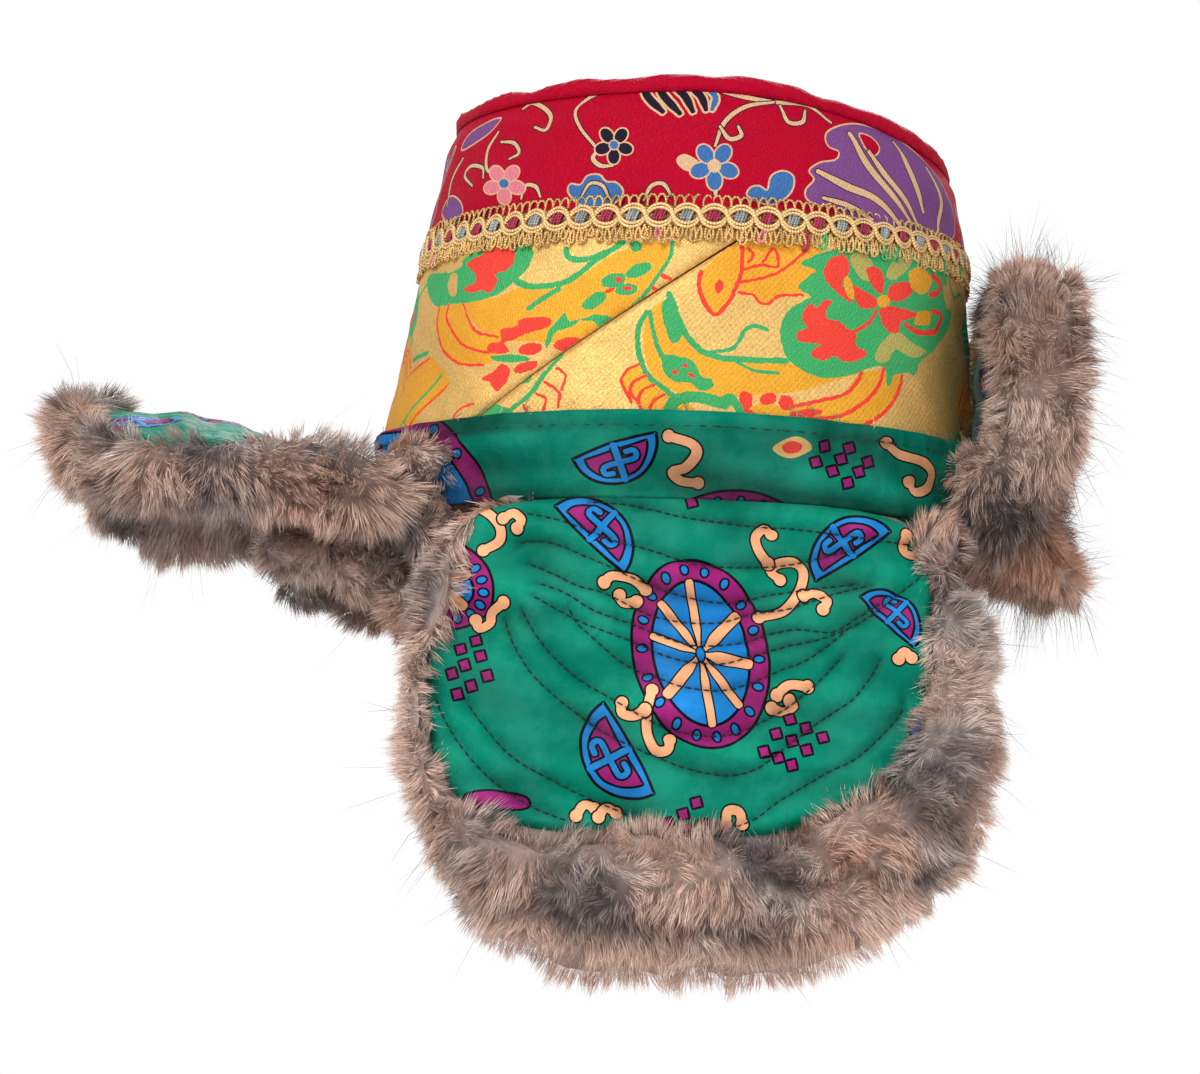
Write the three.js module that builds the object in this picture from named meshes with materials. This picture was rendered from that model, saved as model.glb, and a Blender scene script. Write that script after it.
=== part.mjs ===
// Brocade hat with four fur-lined flaps, in millimetres, +Z up.
// The front is -Y and the wearer's left side is +X. The origin is the middle of the head
// opening, at the hinge line of the flaps. The ear flaps hang down, the front flap
// sticks out like a peak and the back flap is turned up against the crown.
import * as THREE from 'three';
import { mergeVertices } from 'three/addons/utils/BufferGeometryUtils.js';

// Walls and the gaps between touching pieces
const CLOTH = 2.4;
const PANEL = 3;
const GAP = 0.3;
const BRAID_DEPTH = 2;
const BRAID_EDGE = 0.8;
const BRAID_BACKING = 0.1;
const BRAID_HOLLOW = 0.4;
const RIM_FLARE = 1.4;
const BAND_BELLY = 0.4;

// One row for each level of the crown's outer face: its height on the middle line, how much
// it drops for each millimetre towards the back, how much more for each such millimetre
// squared behind the middle, and its reach to front, back and side.
const LEVELS = [
  { height: 0, drop: 0.03, sag: 0, front: 102.5, back: 103, side: 87 },
  { height: 27, drop: 0.03, sag: 0, front: 101.5, back: 102, side: 86 },
  { height: 94, drop: 0.025, sag: 0, front: 87, back: 100, side: 79.5 },
  { height: 138, drop: 0.01, sag: 0.0018, front: 78.5, back: 97, side: 74 },
];
const RIM_TOP = 27.5;
const GOLD_BOTTOM = 20;
const GOLD_TOP = 92.5;
const CRIMSON_TOP = 138;
const BRAID_BOTTOM = 85.5;
const BRAID_TOP = 101.5;
const TOP_EDGE = 6;
const TOP_CROWN = 4;

// The slanting seams of the gold wall, as turns from the front towards either side
const SEAM_AT_FOOT = 42;
const SEAM_AT_BRAID = 103;
const SEAM_GAP = 0.35;

const AROUND = 56;
const FLAP_AROUND = 40;

// The flaps. Centre is how far the widest place lies beyond the hinge. Cloth and fur are the
// outlines of the satin and of the fur, as reaches from that place to the front or the left,
// to the back or the right, to the tip and to the hinge. The other four are the exponents of
// the outline's quarters at the tip and at the hinge, from 2, round, upwards. Depth is the fur
// behind the cloth and roll is how far the fur stands over it at the edge.
const EAR = {
  centre: 52, depth: 13, roll: 10,
  cloth: {
    front: 82, back: 84, tip: 60, hinge: 52,
    squareFront: 4, squareBack: 2.4, hingeFront: 4.5, hingeBack: 7,
  },
  fur: {
    front: 91, back: 106, tip: 100, hinge: 52.3,
    squareFront: 3, squareBack: 2.9, hingeFront: 2.4, hingeBack: 3,
  },
};
const FRONT = {
  centre: 52, depth: 16, roll: 8,
  cloth: {
    front: 60, back: 60, tip: 44, hinge: 52,
    squareFront: 3.4, squareBack: 3.4, hingeFront: 5, hingeBack: 5,
  },
  fur: {
    front: 75, back: 75, tip: 59, hinge: 52.3,
    squareFront: 3, squareBack: 3, hingeFront: 7, hingeBack: 7,
  },
};
const BACK = {
  centre: 46, depth: 24, roll: 4,
  cloth: {
    front: 58, back: 58, tip: 34, hinge: 44,
    squareFront: 3.4, squareBack: 3.4, hingeFront: 4, hingeBack: 4,
  },
  fur: {
    front: 74, back: 74, tip: 48, hinge: 70,
    squareFront: 3, squareBack: 3, hingeFront: 2, hingeBack: 2,
  },
};
const LEAST_BORDER = 0.6;
// The width of border at which the roll of fur reaches its full height
const FULL_BORDER = 12;

const mix = (a, b, t) => a + (b - a) * t;
const clamp = (t) => Math.min(1, Math.max(0, t));
const smooth = (t) => clamp(t) * clamp(t) * (3 - 2 * clamp(t));
const radians = THREE.MathUtils.degToRad;

// The crown's measures at a level, between the two nearest rows of the table
function levelAt(height) {
  let row = 0;
  while (row < LEVELS.length - 2 && height > LEVELS[row + 1].height) row += 1;
  const [low, high] = [LEVELS[row], LEVELS[row + 1]];
  const t = (height - low.height) / (high.height - low.height);
  const level = {};
  for (const key of Object.keys(low)) level[key] = mix(low[key], high[key], t);
  return level;
}

const fallen = ({ drop, sag }, height, y) => height - drop * y - sag * Math.max(0, y) ** 2;

// A point on the crown: turn is 0 at the front and 90 degrees at the left side, and proud is
// how far the point stands out from the outer face.
function crownPoint(turn, height, proud = 0) {
  const level = levelAt(height);
  const { front, back, side } = level;
  const reach = (front + back) / 2 + proud;
  const middle = (back - front) / 2;
  const y = middle - reach * Math.cos(turn);
  return new THREE.Vector3((side + proud) * Math.sin(turn), y, fallen(level, height, y));
}

// A closed mesh from a grid of points whose columns close on themselves
function closedMesh(columns, rows, pointAt, { wrapsAcross = true, ends = 'open' } = {}) {
  const positions = [];
  const index = [];
  for (let i = 0; i < columns; i += 1) {
    for (let j = 0; j < rows; j += 1) positions.push(...pointAt(i, j).toArray());
  }
  const last = wrapsAcross ? columns : columns - 1;
  for (let i = 0; i < last; i += 1) {
    for (let j = 0; j < rows; j += 1) {
      const [a, b] = [i * rows + j, i * rows + (j + 1) % rows];
      const [c, d] = [((i + 1) % columns) * rows + j, ((i + 1) % columns) * rows + (j + 1) % rows];
      index.push(a, c, b, b, c, d);
    }
  }
  if (ends === 'capped') {
    for (let j = 1; j < rows - 1; j += 1) {
      index.push(0, j, j + 1);
      const end = (columns - 1) * rows;
      index.push(end, end + j + 1, end + j);
    }
  }
  const geometry = new THREE.BufferGeometry();
  geometry.setAttribute('position', new THREE.Float32BufferAttribute(positions, 3));
  geometry.setIndex(index);
  return outward(mergeVertices(geometry, 1e-3));
}

// Turns the faces out where the volume comes out negative, and drops flat triangles
function outward(geometry) {
  const position = geometry.attributes.position;
  const old = geometry.index.array;
  const corner = (k) => new THREE.Vector3().fromBufferAttribute(position, k);
  const kept = [];
  let volume = 0;
  for (let k = 0; k < old.length; k += 3) {
    const [a, b, c] = [old[k], old[k + 1], old[k + 2]];
    if (a === b || b === c || a === c) continue;
    kept.push([a, b, c]);
    volume += corner(a).dot(corner(b).cross(corner(c)));
  }
  const turned = volume < 0 ? kept.map(([a, b, c]) => [a, c, b]) : kept;
  geometry.setIndex(turned.flat());
  geometry.computeVertexNormals();
  return geometry;
}

// A band round the crown. The section lists its corners as height and how far each is proud.
function ring(section) {
  return closedMesh(AROUND, section.length, (i, j) => {
    const { height, proud } = section[j];
    return crownPoint((i / AROUND) * 2 * Math.PI, height, proud);
  });
}

function rimBand() {
  const lap = CLOTH + GAP;
  return ring([
    { height: 0, proud: -CLOTH },
    { height: 0, proud: 0 },
    { height: RIM_TOP * 0.4, proud: RIM_FLARE },
    { height: RIM_TOP * 0.8, proud: lap },
    { height: RIM_TOP, proud: CLOTH },
    { height: RIM_TOP, proud: GAP },
    { height: GOLD_BOTTOM - GAP, proud: GAP },
    { height: GOLD_BOTTOM - GAP * 4, proud: -CLOTH },
  ]);
}

function crownBand() {
  const middle = mix(GOLD_TOP, CRIMSON_TOP, 0.5);
  return ring([
    { height: GOLD_TOP + GAP, proud: -CLOTH },
    { height: GOLD_TOP + GAP, proud: 0 },
    { height: middle, proud: BAND_BELLY },
    { height: CRIMSON_TOP, proud: 0 },
    { height: CRIMSON_TOP, proud: -CLOTH },
    { height: middle, proud: BAND_BELLY - CLOTH },
  ]);
}

function braid() {
  const back = GAP;
  const middle = mix(BRAID_BOTTOM, BRAID_TOP, 0.5);
  return ring([
    { height: BRAID_BOTTOM, proud: back },
    { height: BRAID_BOTTOM, proud: back + BRAID_EDGE },
    { height: middle, proud: back + BRAID_DEPTH },
    { height: BRAID_TOP, proud: back + BRAID_EDGE },
    { height: BRAID_TOP, proud: back + BRAID_BACKING },
    { height: middle, proud: back + BRAID_HOLLOW },
  ]);
}

// One cloth of the gold wall, from the seam on one side to the seam on the other
function goldPanel(atFront) {
  const heights = [GOLD_BOTTOM, mix(GOLD_BOTTOM, GOLD_TOP, 0.5), GOLD_TOP];
  const section = [
    ...heights.map((height) => ({ height, proud: 0 })),
    ...heights.toReversed().map((height) => ({ height, proud: -CLOTH })),
  ];
  const columns = AROUND / 2;
  return closedMesh(columns + 1, section.length, (i, j) => {
    const { height, proud } = section[j];
    const t = (height - GOLD_BOTTOM) / (GOLD_TOP - GOLD_BOTTOM);
    const seam = mix(SEAM_AT_FOOT, SEAM_AT_BRAID, t);
    const [from, to] = atFront
      ? [-seam + SEAM_GAP, seam - SEAM_GAP]
      : [seam + SEAM_GAP, 360 - seam - SEAM_GAP];
    return crownPoint(radians(mix(from, to, i / columns)), height, proud);
  }, { wrapsAcross: false, ends: 'capped' });
}

// The round top: a slightly domed disc whose rounded edge turns down to the seam
function crownTop() {
  const steps = 3;
  const seam = CRIMSON_TOP + GAP;
  const outer = [];
  for (let k = 0; k <= steps; k += 1) {
    const a = (k / steps) * Math.PI / 2;
    outer.push({ share: 1, inset: TOP_EDGE * (1 - Math.cos(a)), rise: TOP_EDGE * Math.sin(a) });
  }
  outer.push({ share: 0.55, inset: 0, rise: TOP_EDGE + TOP_CROWN * 0.6 });
  outer.push({ share: 0, inset: 0, rise: TOP_EDGE + TOP_CROWN });
  const inner = outer.toReversed().map(({ share, inset, rise }) => (
    { share, inset: share ? inset + CLOTH : 0, rise: Math.max(0, rise - CLOTH) }));
  const section = [...outer, ...inner];
  const level = levelAt(seam);
  const centre = crownPoint(0, seam).add(crownPoint(Math.PI, seam)).multiplyScalar(0.5);
  return closedMesh(AROUND, section.length, (i, j) => {
    const { share, inset, rise } = section[j];
    const edge = crownPoint((i / AROUND) * 2 * Math.PI, seam, -inset);
    const point = centre.clone().lerp(edge, share);
    return point.setZ(fallen(level, seam, point.y) + rise);
  });
}

// The outline of a flap's cloth or fur in its own flat plane, as the distance from the middle
// of the widest place. Across is positive towards the back or the right.
function outline(edge, angle) {
  const [across, along] = [Math.cos(angle), Math.sin(angle)];
  const side = across > 0 ? edge.back : edge.front;
  const atTip = across > 0 ? edge.squareBack : edge.squareFront;
  const atHinge = across > 0 ? edge.hingeBack : edge.hingeFront;
  const [reach, n] = along > 0 ? [edge.tip, atTip] : [edge.hinge, atHinge];
  return (Math.abs(across / side) ** n + Math.abs(along / reach) ** n) ** (-1 / n);
}

// The loops of a flap's flat faces, as shares of the way from the centre to the cloth's edge
const CLOTH_SHARES = [0, 0.4, 0.75, 1];

// The loops round the fur's border, from the cloth's edge over the roll to the back: the share
// of the border, then the rise in shares of the cloth, of the roll and of the depth
const BORDER_LOOPS = [
  [0.04, 1, 0.5, 0], [0.3, 1, 1, 0], [0.7, 1, 0.7, 0], [0.93, 0, 0.3, 0], [1, 0, 0, -0.3],
  [0.93, 0, 0, -0.8], [0.72, 0, 0, -1.1],
];
const FUR_BACK_SHARE = 0.9;
const FUR_BACK_SWELL = 1.1;

// A solid that follows a flap. Each row of the section is a loop round the flap: cloth is its
// share of the way from the centre to the cloth's edge, fur its share of the border beyond
// that edge and its gap, and rise its height above the back of the cloth.
function flapSolid(flap, surface, section) {
  return closedMesh(FLAP_AROUND, section.length, (i, j) => {
    const { cloth, fur = null, rise } = section[j];
    const angle = (i / FLAP_AROUND) * 2 * Math.PI;
    const edge = outline(flap.cloth, angle);
    const border = Math.max(LEAST_BORDER, outline(flap.fur, angle) - edge);
    const reach = fur === null ? cloth * edge : edge + mix(GAP, border, fur);
    const fade = rise > 0 && fur !== null ? smooth(border / FULL_BORDER) : 1;
    const across = reach * Math.cos(angle);
    const along = flap.centre + reach * Math.sin(angle);
    return surface(across, along, rise * fade);
  });
}

function flapCloth(flap, surface) {
  return flapSolid(flap, surface, [
    ...CLOTH_SHARES.map((cloth) => ({ cloth, rise: GAP })),
    ...CLOTH_SHARES.toReversed().map((cloth) => ({ cloth, rise: GAP + PANEL })),
  ]);
}

function flapFur(flap, surface) {
  const { depth, roll } = flap;
  return flapSolid(flap, surface, [
    ...CLOTH_SHARES.map((cloth) => ({ cloth, rise: 0 })),
    { fur: 0, rise: 0 },
    ...BORDER_LOOPS.map(([fur, ofPanel, ofRoll, ofDepth]) => (
      { fur, rise: PANEL * ofPanel + roll * ofRoll + depth * ofDepth })),
    { cloth: FUR_BACK_SHARE, rise: -depth * FUR_BACK_SWELL },
    { cloth: 0, rise: -depth },
  ]);
}

// How far an oval with the given reach and half width falls back from its end. The flaps
// follow the rim by such ovals, whose half widths stand with each flap.
const setBack = (across, reach, half) => reach * (1 - Math.sqrt(1 - clamp((across / half) ** 2)));

// The left ear flap hangs from the side of the rim, flattens out and leans a little outwards.
const EAR_MIDDLE = -1;
const EAR_LEAN = 6;
const EAR_HALF = 122;
const EAR_FLATTENS_OVER = 90;
const EAR_CURVE_KEPT = 0.3;
function earSurface(across, along, rise) {
  const lean = radians(EAR_LEAN);
  const y = EAR_MIDDLE + across;
  const curve = setBack(across, LEVELS[0].side, EAR_HALF)
    * mix(1, EAR_CURVE_KEPT, smooth(along / EAR_FLATTENS_OVER));
  const slope = curve / Math.max(1, Math.abs(across)) * Math.sign(across);
  const normal = new THREE.Vector3(Math.cos(lean), slope, Math.sin(lean)).normalize();
  const x = LEVELS[0].side - PANEL - curve + along * Math.sin(lean);
  const z = -GAP * 3 - along * Math.cos(lean) - LEVELS[0].drop * y;
  return new THREE.Vector3(x, y, z).addScaledVector(normal, rise);
}

// The front flap climbs steeply from the rim and then levels out, and its sides droop.
const PEAK_RISE = 38;
const PEAK_DROOP = 20;
const PEAK_STAND = 2.2;
const PEAK_HALF = 104;
const PEAK_DROOP_AT_RIM = 0;
function frontSurface(across, along, rise) {
  const { front, drop } = LEVELS[0];
  const length = FRONT.centre + FRONT.cloth.tip;
  const left = 1 - clamp(along / length);
  const hollow = setBack(across, front, PEAK_HALF) * left ** 2;
  const y = -front - PEAK_STAND + hollow - along;
  const droop = PEAK_DROOP * (across / FRONT.cloth.front) ** 2
    * mix(1, PEAK_DROOP_AT_RIM, left ** 2);
  const z = drop * front - PANEL - GAP * 2 + PEAK_RISE * (1 - left ** 3) - droop;
  const tilt = 2 * droop / Math.max(1, Math.abs(across)) * Math.sign(across);
  const slope = 3 * PEAK_RISE / length * left ** 2;
  const normal = new THREE.Vector3(tilt, slope, 1).normalize();
  return new THREE.Vector3(across, y, z).addScaledVector(normal, rise);
}

// The back flap stands up along the crown with its cloth inwards, and bellies out at its fold.
const BACK_LEAN = 0.03;
const BACK_BELLY = 0.45;
const BACK_HALF = 110;
const BACK_UPRIGHT_AT = 30;
function backSurface(across, along, rise) {
  const stand = smooth(along / BACK_UPRIGHT_AT);
  const { back, drop } = LEVELS[0];
  const hollow = setBack(across, back, BACK_HALF) * (1 - stand);
  const lean = BACK_LEAN * along + BACK_BELLY * Math.max(0, -along);
  const y = back + CLOTH + PANEL - hollow + lean;
  const normal = new THREE.Vector3(0, -1, BACK_LEAN).normalize();
  return new THREE.Vector3(across, y, along - drop * back).addScaledVector(normal, rise);
}

const mirrored = (surface) => (across, along, rise) => {
  const point = surface(across, along, rise);
  point.x *= -1;
  return point;
};

const COLOURS = {
  crimson: { color: 0xb5122f, roughness: 0.55, metalness: 0 },
  gold: { color: 0xd9a441, roughness: 0.5, metalness: 0.2 },
  gimp: { color: 0xc9963f, roughness: 0.4, metalness: 0.6 },
  green: { color: 0x0b7f5f, roughness: 0.4, metalness: 0 },
  fur: { color: 0xa38c7c, roughness: 0.95, metalness: 0 },
};

const hat = new THREE.Group();
function add(name, geometry, finish) {
  const mesh = new THREE.Mesh(geometry, new THREE.MeshStandardMaterial(COLOURS[finish]));
  mesh.name = name;
  hat.add(mesh);
}

add('crown_top', crownTop(), 'crimson');
add('crown_band', crownBand(), 'crimson');
add('gold_panel_front', goldPanel(true), 'gold');
add('gold_panel_back', goldPanel(false), 'gold');
add('braid', braid(), 'gimp');
add('rim_band', rimBand(), 'green');
add('ear_flap_left', flapCloth(EAR, earSurface), 'green');
add('ear_flap_right', flapCloth(EAR, mirrored(earSurface)), 'green');
add('front_flap', flapCloth(FRONT, frontSurface), 'green');
add('back_flap', flapCloth(BACK, backSurface), 'green');
add('fur_ear_left', flapFur(EAR, earSurface), 'fur');
add('fur_ear_right', flapFur(EAR, mirrored(earSurface)), 'fur');
add('fur_front', flapFur(FRONT, frontSurface), 'fur');
add('fur_back', flapFur(BACK, backSurface), 'fur');

export default hat;
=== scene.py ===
"""A brocade hat with four fur-lined flaps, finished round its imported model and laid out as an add-on."""

import math

import bmesh
import bpy
import numpy as np
from mathutils import Matrix, Vector, kdtree
from mathutils.geometry import delaunay_2d_cdt


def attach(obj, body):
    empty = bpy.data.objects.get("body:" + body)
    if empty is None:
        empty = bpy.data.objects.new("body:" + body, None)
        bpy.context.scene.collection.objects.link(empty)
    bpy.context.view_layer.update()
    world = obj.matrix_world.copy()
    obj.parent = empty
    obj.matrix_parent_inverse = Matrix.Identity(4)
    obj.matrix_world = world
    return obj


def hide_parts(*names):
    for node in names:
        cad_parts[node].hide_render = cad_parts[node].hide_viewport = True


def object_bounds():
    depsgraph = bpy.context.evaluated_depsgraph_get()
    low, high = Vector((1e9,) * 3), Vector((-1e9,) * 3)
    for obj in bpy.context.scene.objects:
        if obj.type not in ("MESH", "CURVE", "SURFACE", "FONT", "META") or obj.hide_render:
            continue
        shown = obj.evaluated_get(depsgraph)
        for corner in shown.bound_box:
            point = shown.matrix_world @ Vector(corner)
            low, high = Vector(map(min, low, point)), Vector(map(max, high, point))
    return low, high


bl_info = {
    "name": "Fur Flap Hat",
    "version": (1, 0, 0),
    "blender": (4, 5, 0),
    "location": "3D View > Sidebar > Hat",
    "description": "Brocade crown, gimp braid, printed satin and fur for a four-flap hat",
    "category": "Object",
}

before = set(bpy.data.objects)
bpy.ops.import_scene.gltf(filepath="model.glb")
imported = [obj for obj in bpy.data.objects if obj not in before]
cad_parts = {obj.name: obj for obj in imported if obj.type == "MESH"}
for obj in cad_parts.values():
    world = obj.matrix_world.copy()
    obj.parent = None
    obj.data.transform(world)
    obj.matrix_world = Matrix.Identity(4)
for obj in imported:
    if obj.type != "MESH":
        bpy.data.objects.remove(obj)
CAD_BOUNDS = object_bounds()

# Pieces are worked out in millimetres and scaled once, when a mesh is made. The stage is in metres.
MM = 0.001
CLOTH = 2.4
PANEL = 3.0
GAP = 0.3

# The crown's outer face, level by level: height on the middle line, reach to the front, the
# back and the side, drop for each millimetre towards the back, and the further drop for each
# such millimetre squared behind the middle
LEVELS = np.array([
    (0, 102.5, 103, 87, 0.03, 0),
    (27, 101.5, 102, 86, 0.03, 0),
    (94, 87, 100, 79.5, 0.025, 0),
    (138, 78.5, 97, 74, 0.01, 0.0018),
])
FOOT_FRONT, FOOT_BACK, FOOT_SIDE, FOOT_DROP = LEVELS[0, 1:5]
RIM_TOP = 27.5
GOLD_BOTTOM = 20.0
GOLD_TOP = 92.5
CRIMSON_TOP = 138.0
BRAID_BOTTOM = 85.5
BRAID_TOP = 101.5
TOP_EDGE = 6.0
TOP_CROWN = 4.0
SEAM_AT_FOOT = 42.0
SEAM_AT_BRAID = 103.0
SEAM_GAP = 0.35

# The flaps, with the outlines of the cloth and of the fur as reaches from the widest place to
# the front, back, tip and hinge, and the exponents of the outline's four quarters. Laps are
# where the fur's roll bulges over the cloth: a way in degrees, its spread, and millimetres.
EAR = {
    "centre": 52, "depth": 13, "roll": 10,
    "laps": ((196, 20, 13), (0, 26, 8), (38, 14, 6)),
    "cloth": {"front": 82, "back": 84, "tip": 60, "hinge": 52,
              "tip_front": 4, "tip_back": 2.4, "hinge_front": 4.5, "hinge_back": 7},
    "fur": {"front": 91, "back": 106, "tip": 100, "hinge": 52.3,
            "tip_front": 3, "tip_back": 2.9, "hinge_front": 2.4, "hinge_back": 3},
}
FRONT = {
    "centre": 52, "depth": 16, "roll": 8, "laps": ((90, 30, 10),),
    "cloth": {"front": 60, "back": 60, "tip": 44, "hinge": 52,
              "tip_front": 3.4, "tip_back": 3.4, "hinge_front": 5, "hinge_back": 5},
    "fur": {"front": 75, "back": 75, "tip": 59, "hinge": 52.3,
            "tip_front": 3, "tip_back": 3, "hinge_front": 7, "hinge_back": 7},
}
BACK = {
    "centre": 46, "depth": 24, "roll": 4, "laps": ((-15, 50, 24), (195, 50, 24), (90, 30, 6)),
    "cloth": {"front": 58, "back": 58, "tip": 34, "hinge": 44,
              "tip_front": 3.4, "tip_back": 3.4, "hinge_front": 4, "hinge_back": 4},
    "fur": {"front": 74, "back": 74, "tip": 48, "hinge": 70,
            "tip_front": 2.3, "tip_back": 2.3, "hinge_front": 2, "hinge_back": 2},
}
LEAST_BORDER = 0.6

# The photograph's view: the hat's left side from a little below, with the pixel where the hat's
# origin lies, and the camera's slides towards the back and upwards that put it there
CAMERA_DISTANCE = 1500.0
CAMERA_ELEVATION = math.radians(-8)
CAMERA_LENS = 130.5
CAMERA_SENSOR = 36.0
IMAGE_WIDTH = 1200
ORIGIN_PX = (677.0, 532.0)
CAMERA_SLIDE = (-26.55, -1.7)

# One millimetre of chart for each millimetre of arc at this radius round the crown
CROWN_RADIUS = 88.0
HALF_ROUND = math.pi * CROWN_RADIUS
FULL_ROUND = 2 * HALF_ROUND
# How many pixels of the photograph a millimetre takes, for where the crown falls off backwards
PX_PER_MM = 3.0


def linear(code):
    """The linear colour of a six-digit sRGB code."""
    parts = [int(code[k:k + 2], 16) / 255 for k in (0, 2, 4)]
    return tuple(c / 12.92 if c <= 0.04045 else ((c + 0.055) / 1.055) ** 2.4 for c in parts)


def colour(label, text, code):
    return bpy.props.FloatVectorProperty(
        name=label, description=text, default=linear(code), size=3, min=0, max=1, subtype="COLOR")


def length(label, text, millimetres):
    return bpy.props.FloatProperty(
        name=label, description=text, default=millimetres * MM, min=0, unit="LENGTH")


class HatBrocades(bpy.types.PropertyGroup):
    """Silks and metal threads of the crown."""
    crimson: colour("Crimson", "Ground of the crown's brocade", "B40028")
    violet: colour("Violet", "Leaves and curls on the crimson", "7E4C88")
    lake: colour("Lake blue", "Flowers on the crimson", "3F6EA8")
    pink: colour("Pink", "Small petals on the crimson", "E07F8E")
    cream: colour("Cream", "Outlines on the crimson", "DDB48C")
    night: colour("Night", "Dark petals and veins on the crimson", "231A2C")
    gold: colour("Gold", "Ground of the wall's brocade", "E6BA70")
    amber: colour("Amber", "Large leaves on the gold", "EBA736")
    coral: colour("Coral", "Peonies and veins on the gold", "F4483C")
    leaf: colour("Leaf", "Stems and leaves on the gold", "45AC68")
    sage: colour("Sage", "Worn leaves on the gold", "B7AE62")


class HatSatins(bpy.types.PropertyGroup):
    """Colours of the printed satin."""
    green: colour("Green", "Ground of the satin", "027F67")
    magenta: colour("Magenta", "Wheels, panels and squares", "93206E")
    blue: colour("Blue", "Borders and beads", "1D7CC4")
    peach: colour("Peach", "Scrolls and spokes", "F3AE80")
    ink: colour("Ink", "Printed outlines", "0B0A10")


class HatTrims(bpy.types.PropertyGroup):
    """Colours of the braid and of the fur."""
    gimp: colour("Gimp", "Gold cords of the braid", "F2CB8E")
    twist: colour("Twist", "Loops along the braid's edges", "EAC07C")
    garnet: colour("Garnet", "Red knots in the braid", "A82C48")
    steel: colour("Steel", "Grey knots in the braid", "9AA09C")
    beige: colour("Beige", "Most of the fur", "DAB7A7")
    cream: colour("Fur cream", "Pale tips", "F0DFD4")
    slate: colour("Slate", "Grey roots", "6E686B")
    rust: colour("Rust", "Warm patches", "E09E72")
    # Dark also gives the painted shade in the fur's folds.
    dark: colour("Dark", "Guard hairs", "3A2C26")


class HatSizes(bpy.types.PropertyGroup):
    """Sizes of what is sewn and grown on the hat."""
    stitch: length("Stitch", "Length of one quilting stitch", 2.3)
    stitch_pitch: length("Stitch pitch", "Distance from stitch to stitch", 2.9)
    quilt_depth: length("Quilt depth", "How deep a quilting line pulls the satin in", 1.3)
    eye_pitch: length("Eye pitch", "Distance from knot to knot in the braid", 8.5)
    hair: length("Hair", "Usual length of a hair", 10)
    hair_width: length("Hair width", "Width of a hair at its middle", 0.26)


def settings():
    scene = bpy.context.scene
    return scene.hat_brocades, scene.hat_satins, scene.hat_trims, scene.hat_sizes


METALLIC = {"gold": 0.55, "amber": 0.3, "gimp": 0.8, "twist": 0.85, "steel": 0.7, "garnet": 0.35}


def thread_colours(group):
    """A colour with its share of metal for each thread of a property group."""
    return {name: (*getattr(group, name), METALLIC.get(name, 0.0))
            for name in group.__annotations__}


def mix(a, b, t):
    return a + (b - a) * t


def smooth(t):
    t = np.clip(t, 0, 1)
    return t * t * (3 - 2 * t)


def unit(vectors):
    return vectors / np.maximum(np.linalg.norm(vectors, axis=-1, keepdims=True), 1e-9)


def stacked(x, y, z):
    return np.stack(np.broadcast_arrays(np.asarray(x, float), y, z), -1)


def ripple(points, wave, seed, turns=7):
    """Smooth unevenness between about -1 and 1, with the given wavelength."""
    rng = np.random.default_rng(seed)
    points = np.asarray(points, float)
    total = np.zeros(len(points))
    for _ in range(turns):
        way = unit(rng.normal(size=points.shape[1])) * rng.uniform(0.7, 1.4) / wave
        total += np.sin(2 * math.pi * (points @ way + rng.uniform()))
    return total / math.sqrt(turns)


# Surfaces of the crown

def crown_level(height):
    """The crown's reaches, drop and further drop at a height on the middle line."""
    return [np.interp(height, LEVELS[:, 0], LEVELS[:, k]) for k in range(1, 6)]


def fallen(height, y, drop, sag):
    """The real height of a place that is so far towards the back."""
    return height - drop * y - sag * np.maximum(0, y) ** 2


def crown_surface(u, v, rise):
    """A point of the crown: u is arc from the front towards the left side and v is height."""
    turn = u / CROWN_RADIUS
    front, back, side, drop, sag = crown_level(v)
    y = (back - front) / 2 - ((front + back) / 2 + rise) * np.cos(turn)
    return stacked((side + rise) * np.sin(turn), y, fallen(v, y, drop, sag))


TOP_FLAT = 92.0


def top_surface(p, q, rise):
    """The round top as a flat disc: p is towards the left side and q towards the back."""
    reach = np.hypot(p, q)
    turn = np.arctan2(p, -q)
    flat = TOP_FLAT - TOP_EDGE * math.pi / 2
    share = np.clip(reach / flat, 0, 1)
    bend = np.clip((TOP_FLAT - reach) / TOP_EDGE, 0, math.pi / 2)
    inset = TOP_EDGE * (1 - np.cos(bend)) - rise * np.cos(bend)
    lift = TOP_EDGE * np.sin(bend) + TOP_CROWN * (1 - share ** 2) + rise * np.sin(bend)
    front, back, side, drop, sag = crown_level(CRIMSON_TOP)
    middle = (back - front) / 2
    y = middle - ((front + back) / 2 - inset) * np.cos(turn) * share
    x = (side - inset) * np.sin(turn) * share
    return stacked(x, y, fallen(CRIMSON_TOP + GAP, y, drop, sag) + lift)


def crown_from_photo(points, proud=0.0):
    """Chart places on the crown's left side for pixels of the photograph."""
    points = np.asarray(points, float)
    focal = CAMERA_LENS / CAMERA_SENSOR * IMAGE_WIDTH
    cos, sin = math.cos(CAMERA_ELEVATION), math.sin(CAMERA_ELEVATION)
    x = np.full(len(points), FOOT_SIDE)
    height = np.zeros(len(points))
    for _ in range(6):
        z = height - FOOT_DROP * (points[:, 0] - ORIGIN_PX[0]) / PX_PER_MM
        depth = CAMERA_DISTANCE - (cos * x + sin * z)
        y = (points[:, 0] - ORIGIN_PX[0]) * depth / focal
        up = (ORIGIN_PX[1] - points[:, 1]) * depth / focal
        z = (up + sin * x) / cos
        front, back, side, drop, sag = crown_level(height)
        height = z + drop * y + sag * np.maximum(0, y) ** 2
        reach = (front + back) / 2 + proud
        turn = np.arccos(np.clip(((back - front) / 2 - y) / reach, -1, 1))
        x = (side + proud) * np.sin(turn)
    return np.stack([turn * CROWN_RADIUS, height], 1)


# Surfaces and outlines of the flaps

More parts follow.
